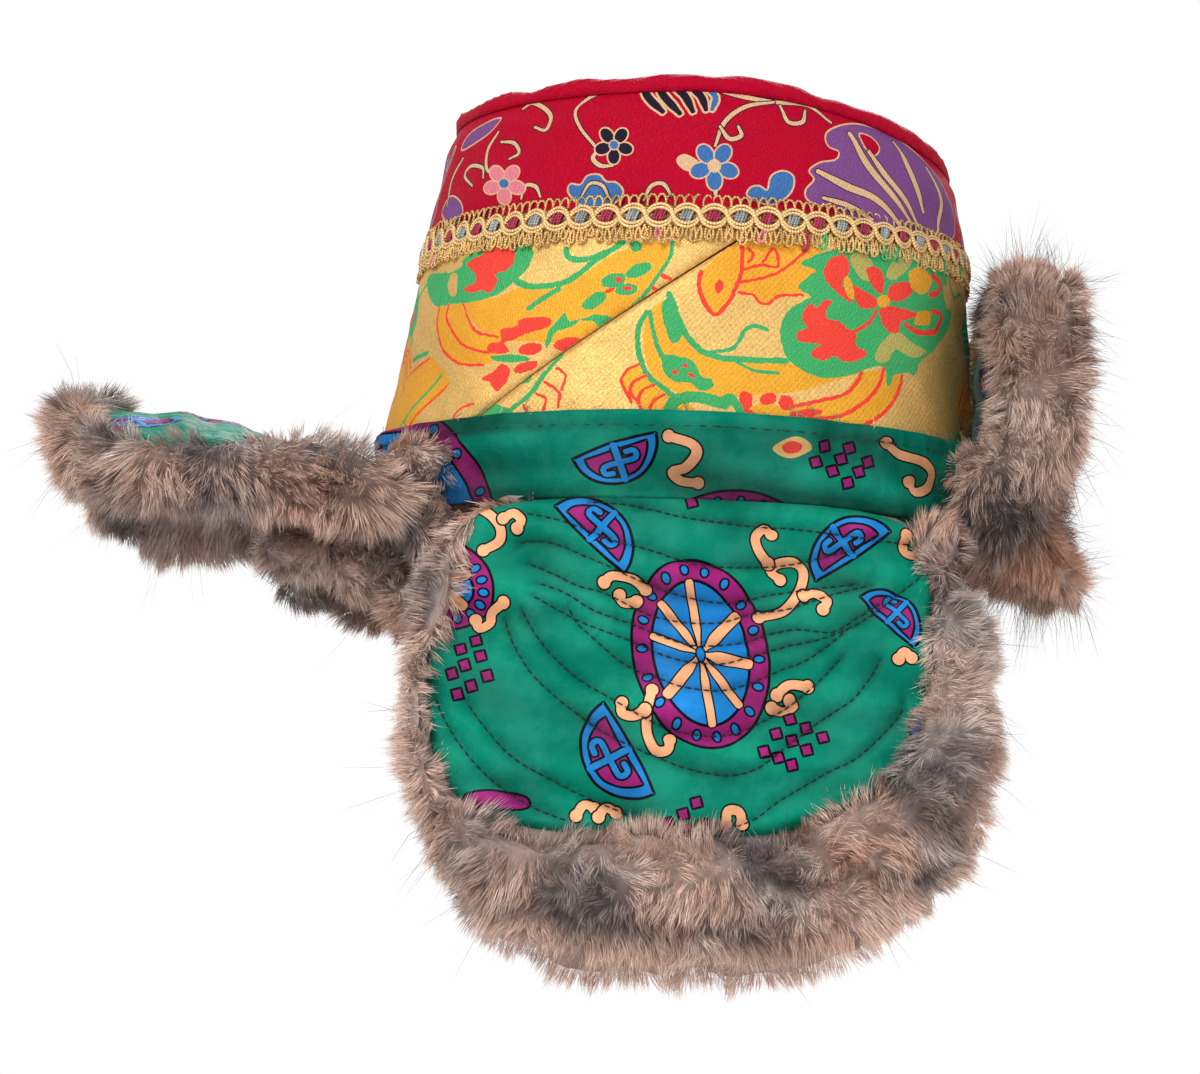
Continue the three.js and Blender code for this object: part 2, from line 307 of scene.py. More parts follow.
def set_back(across, reach, half):
    """How far an oval with this reach and half width falls back from its end."""
    return reach * (1 - np.sqrt(1 - np.clip((across / half) ** 2, 0, 1)))


EAR_MIDDLE = -1.0
EAR_LEAN = math.radians(6)
EAR_HALF = 122.0
EAR_FLATTENS_OVER = 90.0
EAR_CURVE_KEPT = 0.3


def ear_surface(across, along, rise):
    """A point of the left ear flap: across is towards the back and along is down from its hinge."""
    y = EAR_MIDDLE + across
    curve = set_back(across, FOOT_SIDE, EAR_HALF)
    curve = curve * mix(1, EAR_CURVE_KEPT, smooth(along / EAR_FLATTENS_OVER))
    slope = curve / np.maximum(1, np.abs(across)) * np.sign(across)
    normal = unit(stacked(math.cos(EAR_LEAN), slope, math.sin(EAR_LEAN)))
    x = FOOT_SIDE - PANEL - curve + along * math.sin(EAR_LEAN)
    z = -GAP * 3 - along * math.cos(EAR_LEAN) - FOOT_DROP * y
    return stacked(x, y, z) + normal * np.asarray(rise)[..., None]


def right_ear_surface(across, along, rise):
    return ear_surface(across, along, rise) * (-1, 1, 1)


# The photograph's pixel at the flap's hinge, and the pixels of a millimetre across and along it
EAR_HINGE_PX = (674, 499)
EAR_PX_PER_MM = (3.085, 2.99)


def ear_from_photo(points):
    """Flat places on the left ear flap for pixels of the photograph."""
    return (np.asarray(points, float) - EAR_HINGE_PX) / EAR_PX_PER_MM


PEAK_RISE = 38.0
PEAK_DROOP = 20.0
PEAK_STAND = 2.2
PEAK_HALF = 104.0


def front_surface(across, along, rise):
    """A point of the front flap: across is towards the left side and along is out from its hinge."""
    reach = FRONT["centre"] + FRONT["cloth"]["tip"]
    left = 1 - np.clip(along / reach, 0, 1)
    hollow = set_back(across, FOOT_FRONT, PEAK_HALF) * left ** 2
    y = -FOOT_FRONT - PEAK_STAND + hollow - along
    droop = PEAK_DROOP * (across / FRONT["cloth"]["front"]) ** 2 * (1 - left ** 2)
    z = FOOT_DROP * FOOT_FRONT - PANEL - GAP * 2 + PEAK_RISE * (1 - left ** 3) - droop
    tilt = 2 * droop / np.maximum(1, np.abs(across)) * np.sign(across)
    normal = unit(stacked(tilt, 3 * PEAK_RISE / reach * left ** 2, 1))
    return stacked(across, y, z) + normal * np.asarray(rise)[..., None]


BACK_LEAN = 0.03
BACK_BELLY = 0.45
BACK_HALF = 110.0
BACK_UPRIGHT_AT = 30.0


def back_surface(across, along, rise):
    """A point of the back flap: across is towards the left side and along is up from its hinge."""
    hollow = set_back(across, FOOT_BACK, BACK_HALF) * (1 - smooth(along / BACK_UPRIGHT_AT))
    lean = BACK_LEAN * along + BACK_BELLY * np.maximum(0, -along)
    y = FOOT_BACK + CLOTH + PANEL - hollow + lean
    normal = unit(stacked(0, -1, BACK_LEAN))
    return stacked(across, y, along - FOOT_DROP * FOOT_BACK) + normal * np.asarray(rise)[..., None]


def outline_reach(edge, angle):
    """The distance from a flap's widest place to its edge, towards an angle."""
    across, along = np.cos(angle), np.sin(angle)
    side = np.where(across > 0, edge["back"], edge["front"])
    at_tip = np.where(across > 0, edge["tip_back"], edge["tip_front"])
    at_hinge = np.where(across > 0, edge["hinge_back"], edge["hinge_front"])
    power = np.where(along > 0, at_tip, at_hinge)
    reach = np.where(along > 0, edge["tip"], edge["hinge"])
    total = np.abs(across / side) ** power + np.abs(along / reach) ** power
    return total ** (-1 / power)


def flap_outline(flap, steps=220):
    angle = np.arange(steps) / steps * 2 * math.pi
    reach = outline_reach(flap["cloth"], angle)
    return np.stack([reach * np.cos(angle), flap["centre"] + reach * np.sin(angle)], 1)


# Flat curves and charts

def curve_through(points, step, closed=False):
    """A smooth curve through the points, with a new point about every step."""
    p = np.asarray(points, float)
    if closed:
        held = np.vstack([p[-1:], p, p[:2]])
    else:
        held = np.vstack([2 * p[:1] - p[1:2], p, 2 * p[-1:] - p[-2:-1]])
    found = []
    for k in range(len(held) - 3):
        a, b, c, d = held[k:k + 4]
        count = max(1, math.ceil(np.linalg.norm(c - b) / step))
        t = np.arange(count)[:, None] / count
        found.append(0.5 * (2 * b + (c - a) * t + (2 * a - 5 * b + 4 * c - d) * t ** 2
                            + (3 * b - a - 3 * c + d) * t ** 3))
    if not closed:
        found.append(p[-1:])
    return np.vstack(found)


def straight_through(points, step):
    """A closed outline with straight sides and a new point about every step."""
    p = np.asarray(points, float)
    found = []
    for a, b in zip(p, np.roll(p, -1, 0)):
        count = max(1, round(np.linalg.norm(b - a) / step))
        found.append(a + (b - a) * np.arange(count)[:, None] / count)
    return np.vstack(found)


def sideways(path, closed):
    """Unit vectors to the left of a flat path."""
    if closed:
        along = np.roll(path, -1, 0) - np.roll(path, 1, 0)
    else:
        along = np.gradient(path, axis=0)
    return unit(np.stack([-along[:, 1], along[:, 0]], 1))


def inside(outline, points):
    """Which points a closed outline goes round."""
    hits = np.zeros(len(points), bool)
    low, high = outline.min(0), outline.max(0)
    near = np.flatnonzero(((points >= low) & (points <= high)).all(1))
    for some in np.array_split(near, max(1, len(near) // 4000)):
        x, y = points[some, 0][:, None], points[some, 1][:, None]
        ax, ay = outline[:, 0], outline[:, 1]
        bx, by = np.roll(ax, -1), np.roll(ay, -1)
        left = (bx - ax) * (y - ay) - (x - ax) * (by - ay)
        up = (ay <= y) & (by > y) & (left > 0)
        down = (ay > y) & (by <= y) & (left < 0)
        hits[some] = (up.sum(1) - down.sum(1)) != 0
    return hits


def nearest(path, points, closed=False):
    """The distance from each point to a flat path."""
    a = path if closed else path[:-1]
    b = np.roll(path, -1, 0) if closed else path[1:]
    found = np.full(len(points), 1e9)
    span = b - a
    size = np.maximum((span ** 2).sum(1), 1e-9)
    for some in np.array_split(np.arange(len(points)), max(1, len(points) // 3000)):
        away = points[some][:, None] - a
        t = np.clip((away * span).sum(2) / size, 0, 1)
        found[some] = np.linalg.norm(away - span * t[..., None], axis=2).min(1)
    return found


class Chart:
    """Shapes woven or printed on a flat cloth, in millimetres, each over the ones before it."""

    def __init__(self, place=None, size=1.0, pick=0.0, shapes=None):
        self.place = place or (lambda points: np.asarray(points, float))
        self.size = size
        self.pick = pick
        self.shapes = [] if shapes is None else shapes

    def at(self, x, y, turn=0.0, size=1.0, flip=1):
        """The same chart, drawn on in another place, turned by degrees."""
        cos, sin = math.cos(math.radians(turn)) * size, math.sin(math.radians(turn)) * size
        way = np.array([(cos * flip, sin * flip), (-sin, cos)])
        return Chart(lambda points: np.asarray(points, float) @ way + (x, y),
                     size, self.pick, self.shapes)

    def add(self, thread, outline):
        if self.pick:
            outline = np.round(outline / self.pick) * self.pick
        self.shapes.append((outline, thread))

    def patch(self, thread, points, line=None, width=0.0, straight=False):
        points = np.asarray(points, float)
        step = 1.0 / self.size
        outline = straight_through(points, step) if straight else curve_through(points, step, True)
        outline = self.place(outline)
        if line is None:
            self.add(thread, outline)
            return
        out = sideways(outline, True) * width * self.size / 2
        ahead, within = np.roll(outline, -1, 0) - outline, outline.mean(0) - outline
        turned = (ahead[:, 0] * within[:, 1] - ahead[:, 1] * within[:, 0]).sum() > 0
        out = -out if turned else out
        self.add(line, outline + out)
        self.add(thread, outline - out)

    def oval(self, thread, centre, radii, tilt=0.0, line=None, width=0.0):
        angle = np.arange(14) / 14 * 2 * math.pi
        x, y = radii[0] * np.cos(angle), radii[1] * np.sin(angle)
        cos, sin = math.cos(math.radians(tilt)), math.sin(math.radians(tilt))
        points = np.stack([centre[0] + cos * x - sin * y, centre[1] + sin * x + cos * y], 1)
        self.patch(thread, points, line, width)

    def stroke(self, thread, points, width, line=None, line_width=0.0, ends=(1.0, 1.0)):
        """A line of the given width; ends are the shares of it that the two ends keep."""
        path = self.place(curve_through(points, 1.0 / self.size))
        t = np.linspace(0, 1, len(path))
        share = np.minimum(mix(ends[0], 1, smooth(t * 3)), mix(ends[1], 1, smooth((1 - t) * 3)))
        left = sideways(path, False)
        for name, more in ((line, line_width), (thread, 0.0)):
            if name is None:
                continue
            half = (width * share / 2 + more)[:, None] * self.size
            cap = np.array([0.5, 0.87])[:, None]
            ahead = np.stack([left[:, 1], -left[:, 0]], 1)
            end = path[-1] + half[-1] * (left[-1] * cap[::-1] + ahead[-1] * cap)
            past = path[-1] + half[-1] * (ahead[-1] * cap[::-1] - left[-1] * cap)
            start = path[0] - half[0] * (left[0] * cap[::-1] + ahead[0] * cap)
            before = path[0] - half[0] * (ahead[0] * cap[::-1] - left[0] * cap)
            self.add(name, np.vstack([path + left * half, end, past,
                                      (path - left * half)[::-1], start, before]))

    def turn_over(self, about):
        """Add the shapes once more, turned over along the chart."""
        self.shapes.extend([((outline * (-1, 1) + (2 * about, 0))[::-1], thread)
                            for outline, thread in self.shapes])

    def go_round(self):
        """Turn the left side's shapes over for the right side, and bring those before the start
        of the crown's arc to its end too."""
        self.turn_over(0)
        self.shapes.extend([(outline + (FULL_ROUND, 0), thread)
                            for outline, thread in self.shapes if outline[:, 0].max() < 0])


# Cloth made from charts

def triangulate(points, edges, epsilon=0.004):
    """Flat triangles that keep the edges, and where each point comes from."""
    found = delaunay_2d_cdt([Vector(p) for p in points], edges, [], 0, epsilon, True)
    verts, _, faces, orig = found[:4]
    triangles = np.array([f for f in faces if len(f) == 3], int)
    return np.array([tuple(v) for v in verts]), triangles, orig


def cut_cloth(outline, shapes, spacing, lines=()):
    """Flat triangles inside the outline, split along every shape, and each one's thread."""
    low, high = outline.min(0), outline.max(0)
    columns = np.arange(low[0] + spacing / 2, high[0], spacing)
    rows = np.arange(low[1] + spacing / 2, high[1], spacing)
    grid = np.stack(np.meshgrid(columns, rows), -1).reshape(-1, 2)
    grid = grid[inside(outline, grid)]
    grid = grid[nearest(outline, grid, True) > spacing * 0.4]
    reach = [s for s in shapes if (s[0].max(0) > low).all() and (s[0].min(0) < high).all()]
    points, edges, count = [grid], [], len(grid)
    for loop, closed in [(outline, True)] + [(s[0], True) for s in reach] + [(x, False) for x in lines]:
        size = len(loop)
        ahead = range(size if closed else size - 1)
        edges += [(count + k, count + (k + 1) % size) for k in ahead]
        points.append(loop)
        count += size
    points, triangles, _ = triangulate(np.vstack(points), edges)
    middles = points[triangles].mean(1)
    kept = inside(outline, middles)
    triangles, middles = triangles[kept], middles[kept]
    threads = np.full(len(triangles), -1)
    for k, (loop, _) in enumerate(reach):
        threads[inside(loop, middles)] = k
    used, triangles = np.unique(triangles, return_inverse=True)
    names = np.array([s[1] for s in reach] + [None], object)
    return points[used], triangles.reshape(-1, 3), names[threads]


def open_edges(triangles):
    """The edges that only one triangle has, in its own order."""
    edges = np.vstack([triangles[:, [0, 1]], triangles[:, [1, 2]], triangles[:, [2, 0]]])
    _, first, count = np.unique(np.sort(edges, 1), axis=0, return_index=True, return_counts=True)
    return edges[first[count == 1]]


def add_back(flat, triangles, outline, joined_at):
    """A plain back for a cut cloth: its points, triangles and the strips round the edge."""
    rim = open_edges(triangles)
    held = np.unique(rim)
    place = {int(v): k for k, v in enumerate(held)}
    edges = [(place[int(a)], place[int(b)]) for a, b in rim]
    points, faces, orig = triangulate(flat[held], edges, 1e-5)
    faces = faces[inside(outline, points[faces].mean(1))]
    source = np.array([held[o[0]] for o in orig])
    behind = {int(v): len(flat) + k for k, v in enumerate(source)}
    strips = []
    for a, b in rim:
        at_join = joined_at is not None and any(
            abs(flat[a, 0] - u) < 1e-3 and abs(flat[b, 0] - u) < 1e-3 for u in joined_at)
        if not at_join:
            strips += [(b, a, behind[int(a)]), (b, behind[int(a)], behind[int(b)])]
    faces = (faces + len(flat))[:, ::-1]
    return points, np.vstack([faces, np.array(strips)])


def make_mesh(name, points, triangles):
    """A mesh object from millimetre points and triangles."""
    mesh = bpy.data.meshes.new(name)
    mesh.vertices.add(len(points))
    mesh.vertices.foreach_set("co", (np.asarray(points) * MM).astype(np.float32).ravel())
    mesh.loops.add(triangles.size)
    mesh.loops.foreach_set("vertex_index", triangles.astype(np.int32).ravel())
    mesh.polygons.add(len(triangles))
    mesh.polygons.foreach_set("loop_start", np.arange(0, triangles.size, 3, dtype=np.int32))
    mesh.update(calc_edges=True)
    mesh.validate()
    mesh.shade_smooth()
    made = bpy.data.objects.new(name, mesh)
    bpy.context.scene.collection.objects.link(made)
    return made


def merge_doubles(piece, reach):
    """Join the points of a piece that lie within a reach in millimetres."""
    mesh = bmesh.new()
    mesh.from_mesh(piece.data)
    bmesh.ops.remove_doubles(mesh, verts=mesh.verts, dist=reach * MM)
    mesh.to_mesh(piece.data)
    mesh.free()


def point_outwards(piece):
    """Turn the faces of a closed piece outwards."""
    mesh = bmesh.new()
    mesh.from_mesh(piece.data)
    bmesh.ops.recalc_face_normals(mesh, faces=mesh.faces)
    mesh.to_mesh(piece.data)
    mesh.free()


def set_colours(piece, colours, domain):
    """Colours with a share of metal, one for each point or for each face's corners."""
    layer = piece.data.color_attributes.new(name="thread", type="FLOAT_COLOR", domain=domain)
    layer.data.foreach_set("color", np.asarray(colours, np.float32).ravel())


def finish_piece(piece, material, nodes=()):
    """Give a piece its material and slot, and hide the CAD nodes that it stands for."""
    piece.data.materials.append(material)
    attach(piece, "root")
    if nodes:
        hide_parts(*nodes)
    return piece


def make_cloth(name, outline, chart, surface, front, palette, ground, back=None,
               spacing=2.5, lines=(), joined_at=None, tone=None):
    """A cloth on a surface. Front and back give the rise of its two faces at flat places, and
    tone the painted shade and light on its colours there."""
    flat, triangles, threads = cut_cloth(outline, chart.shapes, spacing, lines)
    points = surface(flat[:, 0], flat[:, 1], front(flat))
    probe = surface(flat[:, 0], flat[:, 1], front(flat) + 1) - points
    a, b, c = (points[triangles[:, k]] for k in range(3))
    turned = (np.cross(b - a, c - a) * probe[triangles[:, 0]]).sum() < 0
    colours = np.array([palette[t or ground] for t in threads])
    if back is not None:
        behind, more = add_back(flat, triangles, outline, joined_at)
        points = np.vstack([points, surface(behind[:, 0], behind[:, 1], back(behind))])
        flat = np.vstack([flat, behind])
        triangles = np.vstack([triangles, more])
        colours = np.vstack([colours, np.tile(palette[ground], (len(more), 1))])
    if turned:
        triangles = triangles[:, ::-1]
    piece = make_mesh(name, points, triangles)
    colours = np.repeat(colours, 3, 0)
    if tone is not None:
        colours[:, :3] *= np.clip(tone(flat), 0.3, 1.25)[triangles.ravel(), None]
    set_colours(piece, colours, "CORNER")
    layer = piece.data.uv_layers.new(name="cloth")
    layer.data.foreach_set("uv", (flat[triangles.ravel()] / 10).astype(np.float32).ravel())
    if joined_at is not None:
        merge_doubles(piece, 0.02)
    return piece


# Materials

WORN_SILK = (0.78, 0.72, 0.62, 1)
DUST = (0.75, 0.85, 0.8, 1)


def feed(tree, node, inputs):
    """Give a node's inputs a value or a link."""
    for name, value in inputs.items():
        if isinstance(value, bpy.types.NodeSocket):
            tree.links.new(value, node.inputs[name])
        else:
            node.inputs[name].default_value = value
    return node


def put(tree, kind, options=None, inputs=None):
    """A node with its options set and its inputs fed."""
    made = tree.nodes.new("ShaderNode" + kind)
    for name, value in (options or {}).items():
        setattr(made, name, value)
    return feed(tree, made, inputs or {})


def maths(tree, operation, *values):
    return put(tree, "Math", {"operation": operation}, dict(enumerate(values))).outputs[0]


def plus(tree, a, b):
    return maths(tree, "ADD", a, b)


def less(tree, a, b):
    return maths(tree, "SUBTRACT", a, b)


def times(tree, a, b):
    return maths(tree, "MULTIPLY", a, b)


def mixed(tree, share, first, second, blend="MIX"):
    """Two colours mixed, by the numbers of the node's colour sockets, which share their names."""
    made = put(tree, "Mix", {"data_type": "RGBA", "blend_type": blend},
               {0: share, 6: first, 7: second})
    return made.outputs[2]


def grey(tree, value):
    return put(tree, "CombineColor", None, {0: value, 1: value, 2: value}).outputs[0]


def shaded(tree, base, tone):
    """A colour made lighter or darker by a value."""
    return mixed(tree, 1.0, base, grey(tree, tone), "MULTIPLY")


def scaled(tree, value, low, high):
    return put(tree, "MapRange", None, {"Value": value, "To Min": low, "To Max": high}).outputs[0]


def stepped(tree, value, low, high):
    """How far a value is from low to high, with soft ends."""
    made = put(tree, "MapRange", {"interpolation_type": "SMOOTHSTEP"},
               {"Value": value, "From Min": low, "From Max": high})
    return made.outputs[0]


def noise(tree, place, scale, detail, solid=False, **more):
    """The value of a noise over the cloth, or through the solid; more holds its other inputs."""
    options = {"noise_dimensions": "3D" if solid else "2D"}
    made = put(tree, "TexNoise", options, {"Vector": place, "Scale": scale, "Detail": detail, **more})
    return made.outputs["Fac"]


def bump(tree, height, depth, strength):
    made = put(tree, "Bump", None, {"Height": height, "Distance": depth, "Strength": strength})
    return made.outputs[0]


def group_tree(name, inputs, outputs):
    """A shader node group with a flat place and numbers in, and numbers out."""
    tree = bpy.data.node_groups.new(name, "ShaderNodeTree")
    tree.interface.new_socket("Place", in_out="INPUT", socket_type="NodeSocketVector")
    for label, default in inputs.items():
        socket = tree.interface.new_socket(label, in_out="INPUT", socket_type="NodeSocketFloat")
        socket.default_value = default
    for label in outputs:
        tree.interface.new_socket(label, in_out="OUTPUT", socket_type="NodeSocketFloat")
    return tree, tree.nodes.new("NodeGroupInput").outputs, tree.nodes.new("NodeGroupOutput")


def weave_group():
    """Crossing threads: a height to bump by and a shade between them."""
    tree, given, out = group_tree(
        "crossing threads", {"Across": 10.0, "Along": 10.0, "Uneven": 0.3}, ["Height", "Shade"])
    parts = put(tree, "SeparateXYZ", None, {0: given["Place"]}).outputs
    drift = times(tree, noise(tree, given["Place"], 4.0, 2.0), 0.25)
    across = times(tree, plus(tree, parts[0], drift), times(tree, given["Across"], math.pi))
    along = times(tree, plus(tree, parts[1], drift), times(tree, given["Along"], math.pi))
    crossed = times(tree, maths(tree, "SINE", across), maths(tree, "SINE", along))
    rough = times(tree, less(tree, noise(tree, given["Place"], 38.0, 1.0), 0.5), given["Uneven"])
    height = plus(tree, times(tree, crossed, 0.5), rough)
    shade = put(tree, "MapRange", None, {"Value": height, "From Min": -0.6, "From Max": 0.5})
    feed(tree, out, {"Height": height, "Shade": shade.outputs[0]})
    return tree


def rib_group():
    """Long floats of thread that lie side by side, with painted shade in the step between them."""
    tree, given, out = group_tree("ribbed floats", {"Ribs": 10.0, "Turn": 0.0}, ["Height", "Shade"])
    turned = put(tree, "VectorRotate", {"rotation_type": "Z_AXIS"},
                 {"Vector": given["Place"], "Angle": given["Turn"]})
    parts = put(tree, "SeparateXYZ", None, {0: turned.outputs[0]}).outputs
    place = plus(tree, parts[0], times(tree, noise(tree, given["Place"], 9.0, 2.0), 0.12))
    wave = maths(tree, "SINE", times(tree, place, times(tree, given["Ribs"], 2 * math.pi)))
    feed(tree, out, {"Height": wave, "Shade": stepped(tree, wave, -1.0, 0.1)})
    return tree


def glint_group():
    """Single flat threads that catch the light, as a mask of small cells."""
    tree, given, out = group_tree("thread glints", {"Cells": 24.0, "Sharp": 3.0}, ["Glint"])
    cells = put(tree, "TexVoronoi", {"voronoi_dimensions": "2D"},
                {"Vector": given["Place"], "Scale": given["Cells"]})
    parts = put(tree, "SeparateColor", None, {0: cells.outputs["Color"]}).outputs
    feed(tree, out, {"Glint": maths(tree, "POWER", parts[0], given["Sharp"])})
    return tree


def wear_group():
    """Handling marks: slow changes of shade over the cloth."""
    tree, given, out = group_tree("handling wear", {"Size": 0.5}, ["Fade"])
    broad = noise(tree, given["Place"], given["Size"], 5.0, Roughness=0.65)
    feed(tree, out, {"Fade": stepped(tree, broad, 0.35, 0.68)})
    return tree


def group_node(tree, name, maker, inputs):
    made = tree.nodes.new("ShaderNodeGroup")
    made.node_tree = bpy.data.node_groups.get(name) or maker()
    return feed(tree, made, inputs).outputs


def new_material(name):
    """A material with its Principled shader, and its thread colour and flat place."""
    material = bpy.data.materials.new(name)
    material.use_nodes = True
    tree = material.node_tree
    shader = tree.nodes["Principled BSDF"]
    thread = put(tree, "Attribute", {"attribute_name": "thread"})
    place = put(tree, "UVMap", {"uv_map": "cloth"})
    return material, tree, shader, thread.outputs, place.outputs[0]


def kept_material(name, maker):
    return bpy.data.materials.get(name) or maker(name)


def brocade(name, ribs, rib_turn, rib_share, canvas, gloss):
    """Silk brocade: floats in the figures, crossing threads in the ground, gold that glints."""
    material, tree, shader, thread, place = new_material(name)
    ribbed = group_node(tree, "ribbed floats", rib_group,
                        {"Place": place, "Ribs": ribs, "Turn": rib_turn})
    crossed = group_node(tree, "crossing threads", weave_group,
                         {"Place": place, "Across": canvas, "Along": canvas * 0.8, "Uneven": 1.1})
    glint = group_node(tree, "thread glints", glint_group,
                       {"Place": place, "Cells": 26.0, "Sharp": 2.2})["Glint"]
    worn = group_node(tree, "handling wear", wear_group, {"Place": place, "Size": 0.32})["Fade"]
    metal = thread["Alpha"]
    floats = less(tree, 1.0, maths(tree, "MINIMUM", times(tree, metal, 2), 0.8))
    # The weave's and the ribs' Shade darken the colour between threads as painted shade, and sparkle adds
    # painted glints to the metal threads.
    weave = mixed(tree, times(tree, floats, rib_share), grey(tree, crossed["Shade"]),
                  grey(tree, ribbed["Shade"]))
    sparkle = times(tree, less(tree, glint, 0.3), times(tree, metal, 0.55))
    fresh = shaded(tree, thread["Color"], plus(tree, scaled(tree, weave, 0.72, 1.1), sparkle))
    aged = mixed(tree, times(tree, worn, 0.22), fresh, mixed(tree, 1.0, fresh, WORN_SILK, "MULTIPLY"))
    height = plus(tree, times(tree, crossed["Height"], 0.6),
                  times(tree, times(tree, ribbed["Height"], floats), 0.5))
    feed(tree, shader, {
        "Base Color": aged, "Metallic": times(tree, metal, 0.75),
        "Roughness": less(tree, gloss, times(tree, glint, 0.18)),
        "Normal": bump(tree, height, 0.00016, 0.9), "Specular IOR Level": 0.06})
    return material


def printed_satin(name):
    """Smooth satin with a print, crushed a little and faded where it is handled."""
    material, tree, shader, thread, place = new_material(name)
    crossed = group_node(tree, "crossing threads", weave_group,
                         {"Place": place, "Across": 26.0, "Along": 20.0, "Uneven": 0.7})
    worn = group_node(tree, "handling wear", wear_group, {"Place": place, "Size": 0.45})["Fade"]
    crush = noise(tree, place, 1.6, 4.0, Distortion=0.6)
    # Painted shade between the crossing threads, times the handling wear.
    tone = times(tree, scaled(tree, crossed["Shade"], 0.88, 1.06), scaled(tree, worn, 0.86, 1.08))
    fresh = shaded(tree, thread["Color"], tone)
    height = plus(tree, times(tree, crossed["Height"], 0.12), times(tree, crush, 3.0))
    feed(tree, shader, {
        "Base Color": mixed(tree, scaled(tree, worn, 0.0, 0.012), fresh, DUST),
        "Roughness": scaled(tree, worn, 0.42, 0.58),
        "Normal": bump(tree, height, 0.0004, 0.55), "Specular IOR Level": 0.035})
    return material


def metal_thread():
    """Twisted metal thread round a silk core."""
    material, tree, shader, thread, place = new_material("metal thread")
    coil = group_node(tree, "ribbed floats", rib_group, {"Place": place, "Ribs": 1.0, "Turn": 0.0})
    glint = group_node(tree, "thread glints", glint_group,
                       {"Place": place, "Cells": 2.0, "Sharp": 1.6})["Glint"]
    # Painted shade between the coil's turns and painted glints, in the base colour.
    tone = plus(tree, scaled(tree, coil["Shade"], 0.6, 1.0), times(tree, glint, 0.35))
    feed(tree, shader, {
        "Base Color": shaded(tree, thread["Color"], tone),
        "Metallic": times(tree, thread["Alpha"], 0.7), "Roughness": scaled(tree, glint, 0.48, 0.3),
        "Normal": bump(tree, coil["Height"], 0.00012, 0.8)})
    return material


def sewing_thread(name):
    """Twisted dark thread."""
    material, tree, shader, thread, _ = new_material(name)
    spots = put(tree, "TexCoord")
    # The diagonal ply bands darken and lighten the colour: painted shade and highlight along the twist.
    ply = put(tree, "TexWave", {"bands_direction": "DIAGONAL"},
              {"Vector": spots.outputs["Object"], "Scale": 900.0, "Distortion": 1.0}).outputs["Fac"]
    feed(tree, shader, {"Base Color": shaded(tree, thread["Color"], scaled(tree, ply, 0.7, 1.6)),
                        "Roughness": scaled(tree, ply, 0.5, 0.65)})
    return material


def hair_material(name, rough=0.55):
    """Hair: its colour runs from root to tip in the mesh, with a soft sheen."""
    material, tree, shader, thread, _ = new_material(name)
    spots = put(tree, "TexCoord").outputs["Object"]
    flecks = noise(tree, spots, 900.0, 2.0, solid=True)
    feed(tree, shader, {
        "Base Color": shaded(tree, thread["Color"], scaled(tree, flecks, 0.75, 1.25)),
        "Roughness": scaled(tree, flecks, rough - 0.1, rough + 0.1), "Specular IOR Level": 0.15})
    return material


def skin_material(name):
    """The pelt under the hairs, which is duller."""
    return hair_material(name, 0.8)


def floor_material():
    material = bpy.data.materials.new("pale floor")
    material.use_nodes = True
    tree = material.node_tree
    mottle = noise(tree, put(tree, "TexCoord").outputs["Object"], 1.5, 2.0, solid=True)
    feed(tree, tree.nodes["Principled BSDF"],
         {"Base Color": grey(tree, scaled(tree, mottle, 0.9, 0.93)),
          "Roughness": scaled(tree, mottle, 0.8, 0.9)})
    return material


# Motifs of the crimson brocade, in pixels of the photograph. A patch is thread and outline,
# and a stroke is thread, width and the points that it runs through.
CRIMSON_PATCHES_PX = [
    ("lake", [(566, 193), (568, 184), (578, 185), (585, 176), (597, 175), (604, 182), (614, 183),
              (620, 193), (606, 206), (580, 206)]),
    ("cream", [(674, 160), (681, 155), (692, 160), (697, 166), (688, 171), (679, 168)]),
    ("lake", [(744, 196), (748, 187), (757, 186), (764, 190), (768, 176), (780, 171), (790, 177),
              (789, 190), (780, 200), (765, 205)]),
    ("violet", [(828, 130), (823, 138), (826, 147), (836, 152), (832, 160), (816, 163), (805, 171),
                (810, 180), (802, 190), (804, 200), (819, 206), (831, 203), (837, 213), (895, 230),
                (947, 240), (952, 222), (945, 196), (934, 172), (920, 154), (895, 136), (866, 125),
                (846, 124)]),
    ("crimson", [(857, 134), (868, 137), (876, 148), (872, 156), (862, 148)]),
    ("violet", [(462, 150), (470, 132), (486, 120), (498, 118), (492, 130), (476, 142)]),
    ("violet", [(441, 214), (450, 196), (460, 202), (461, 214), (452, 224)]),
]
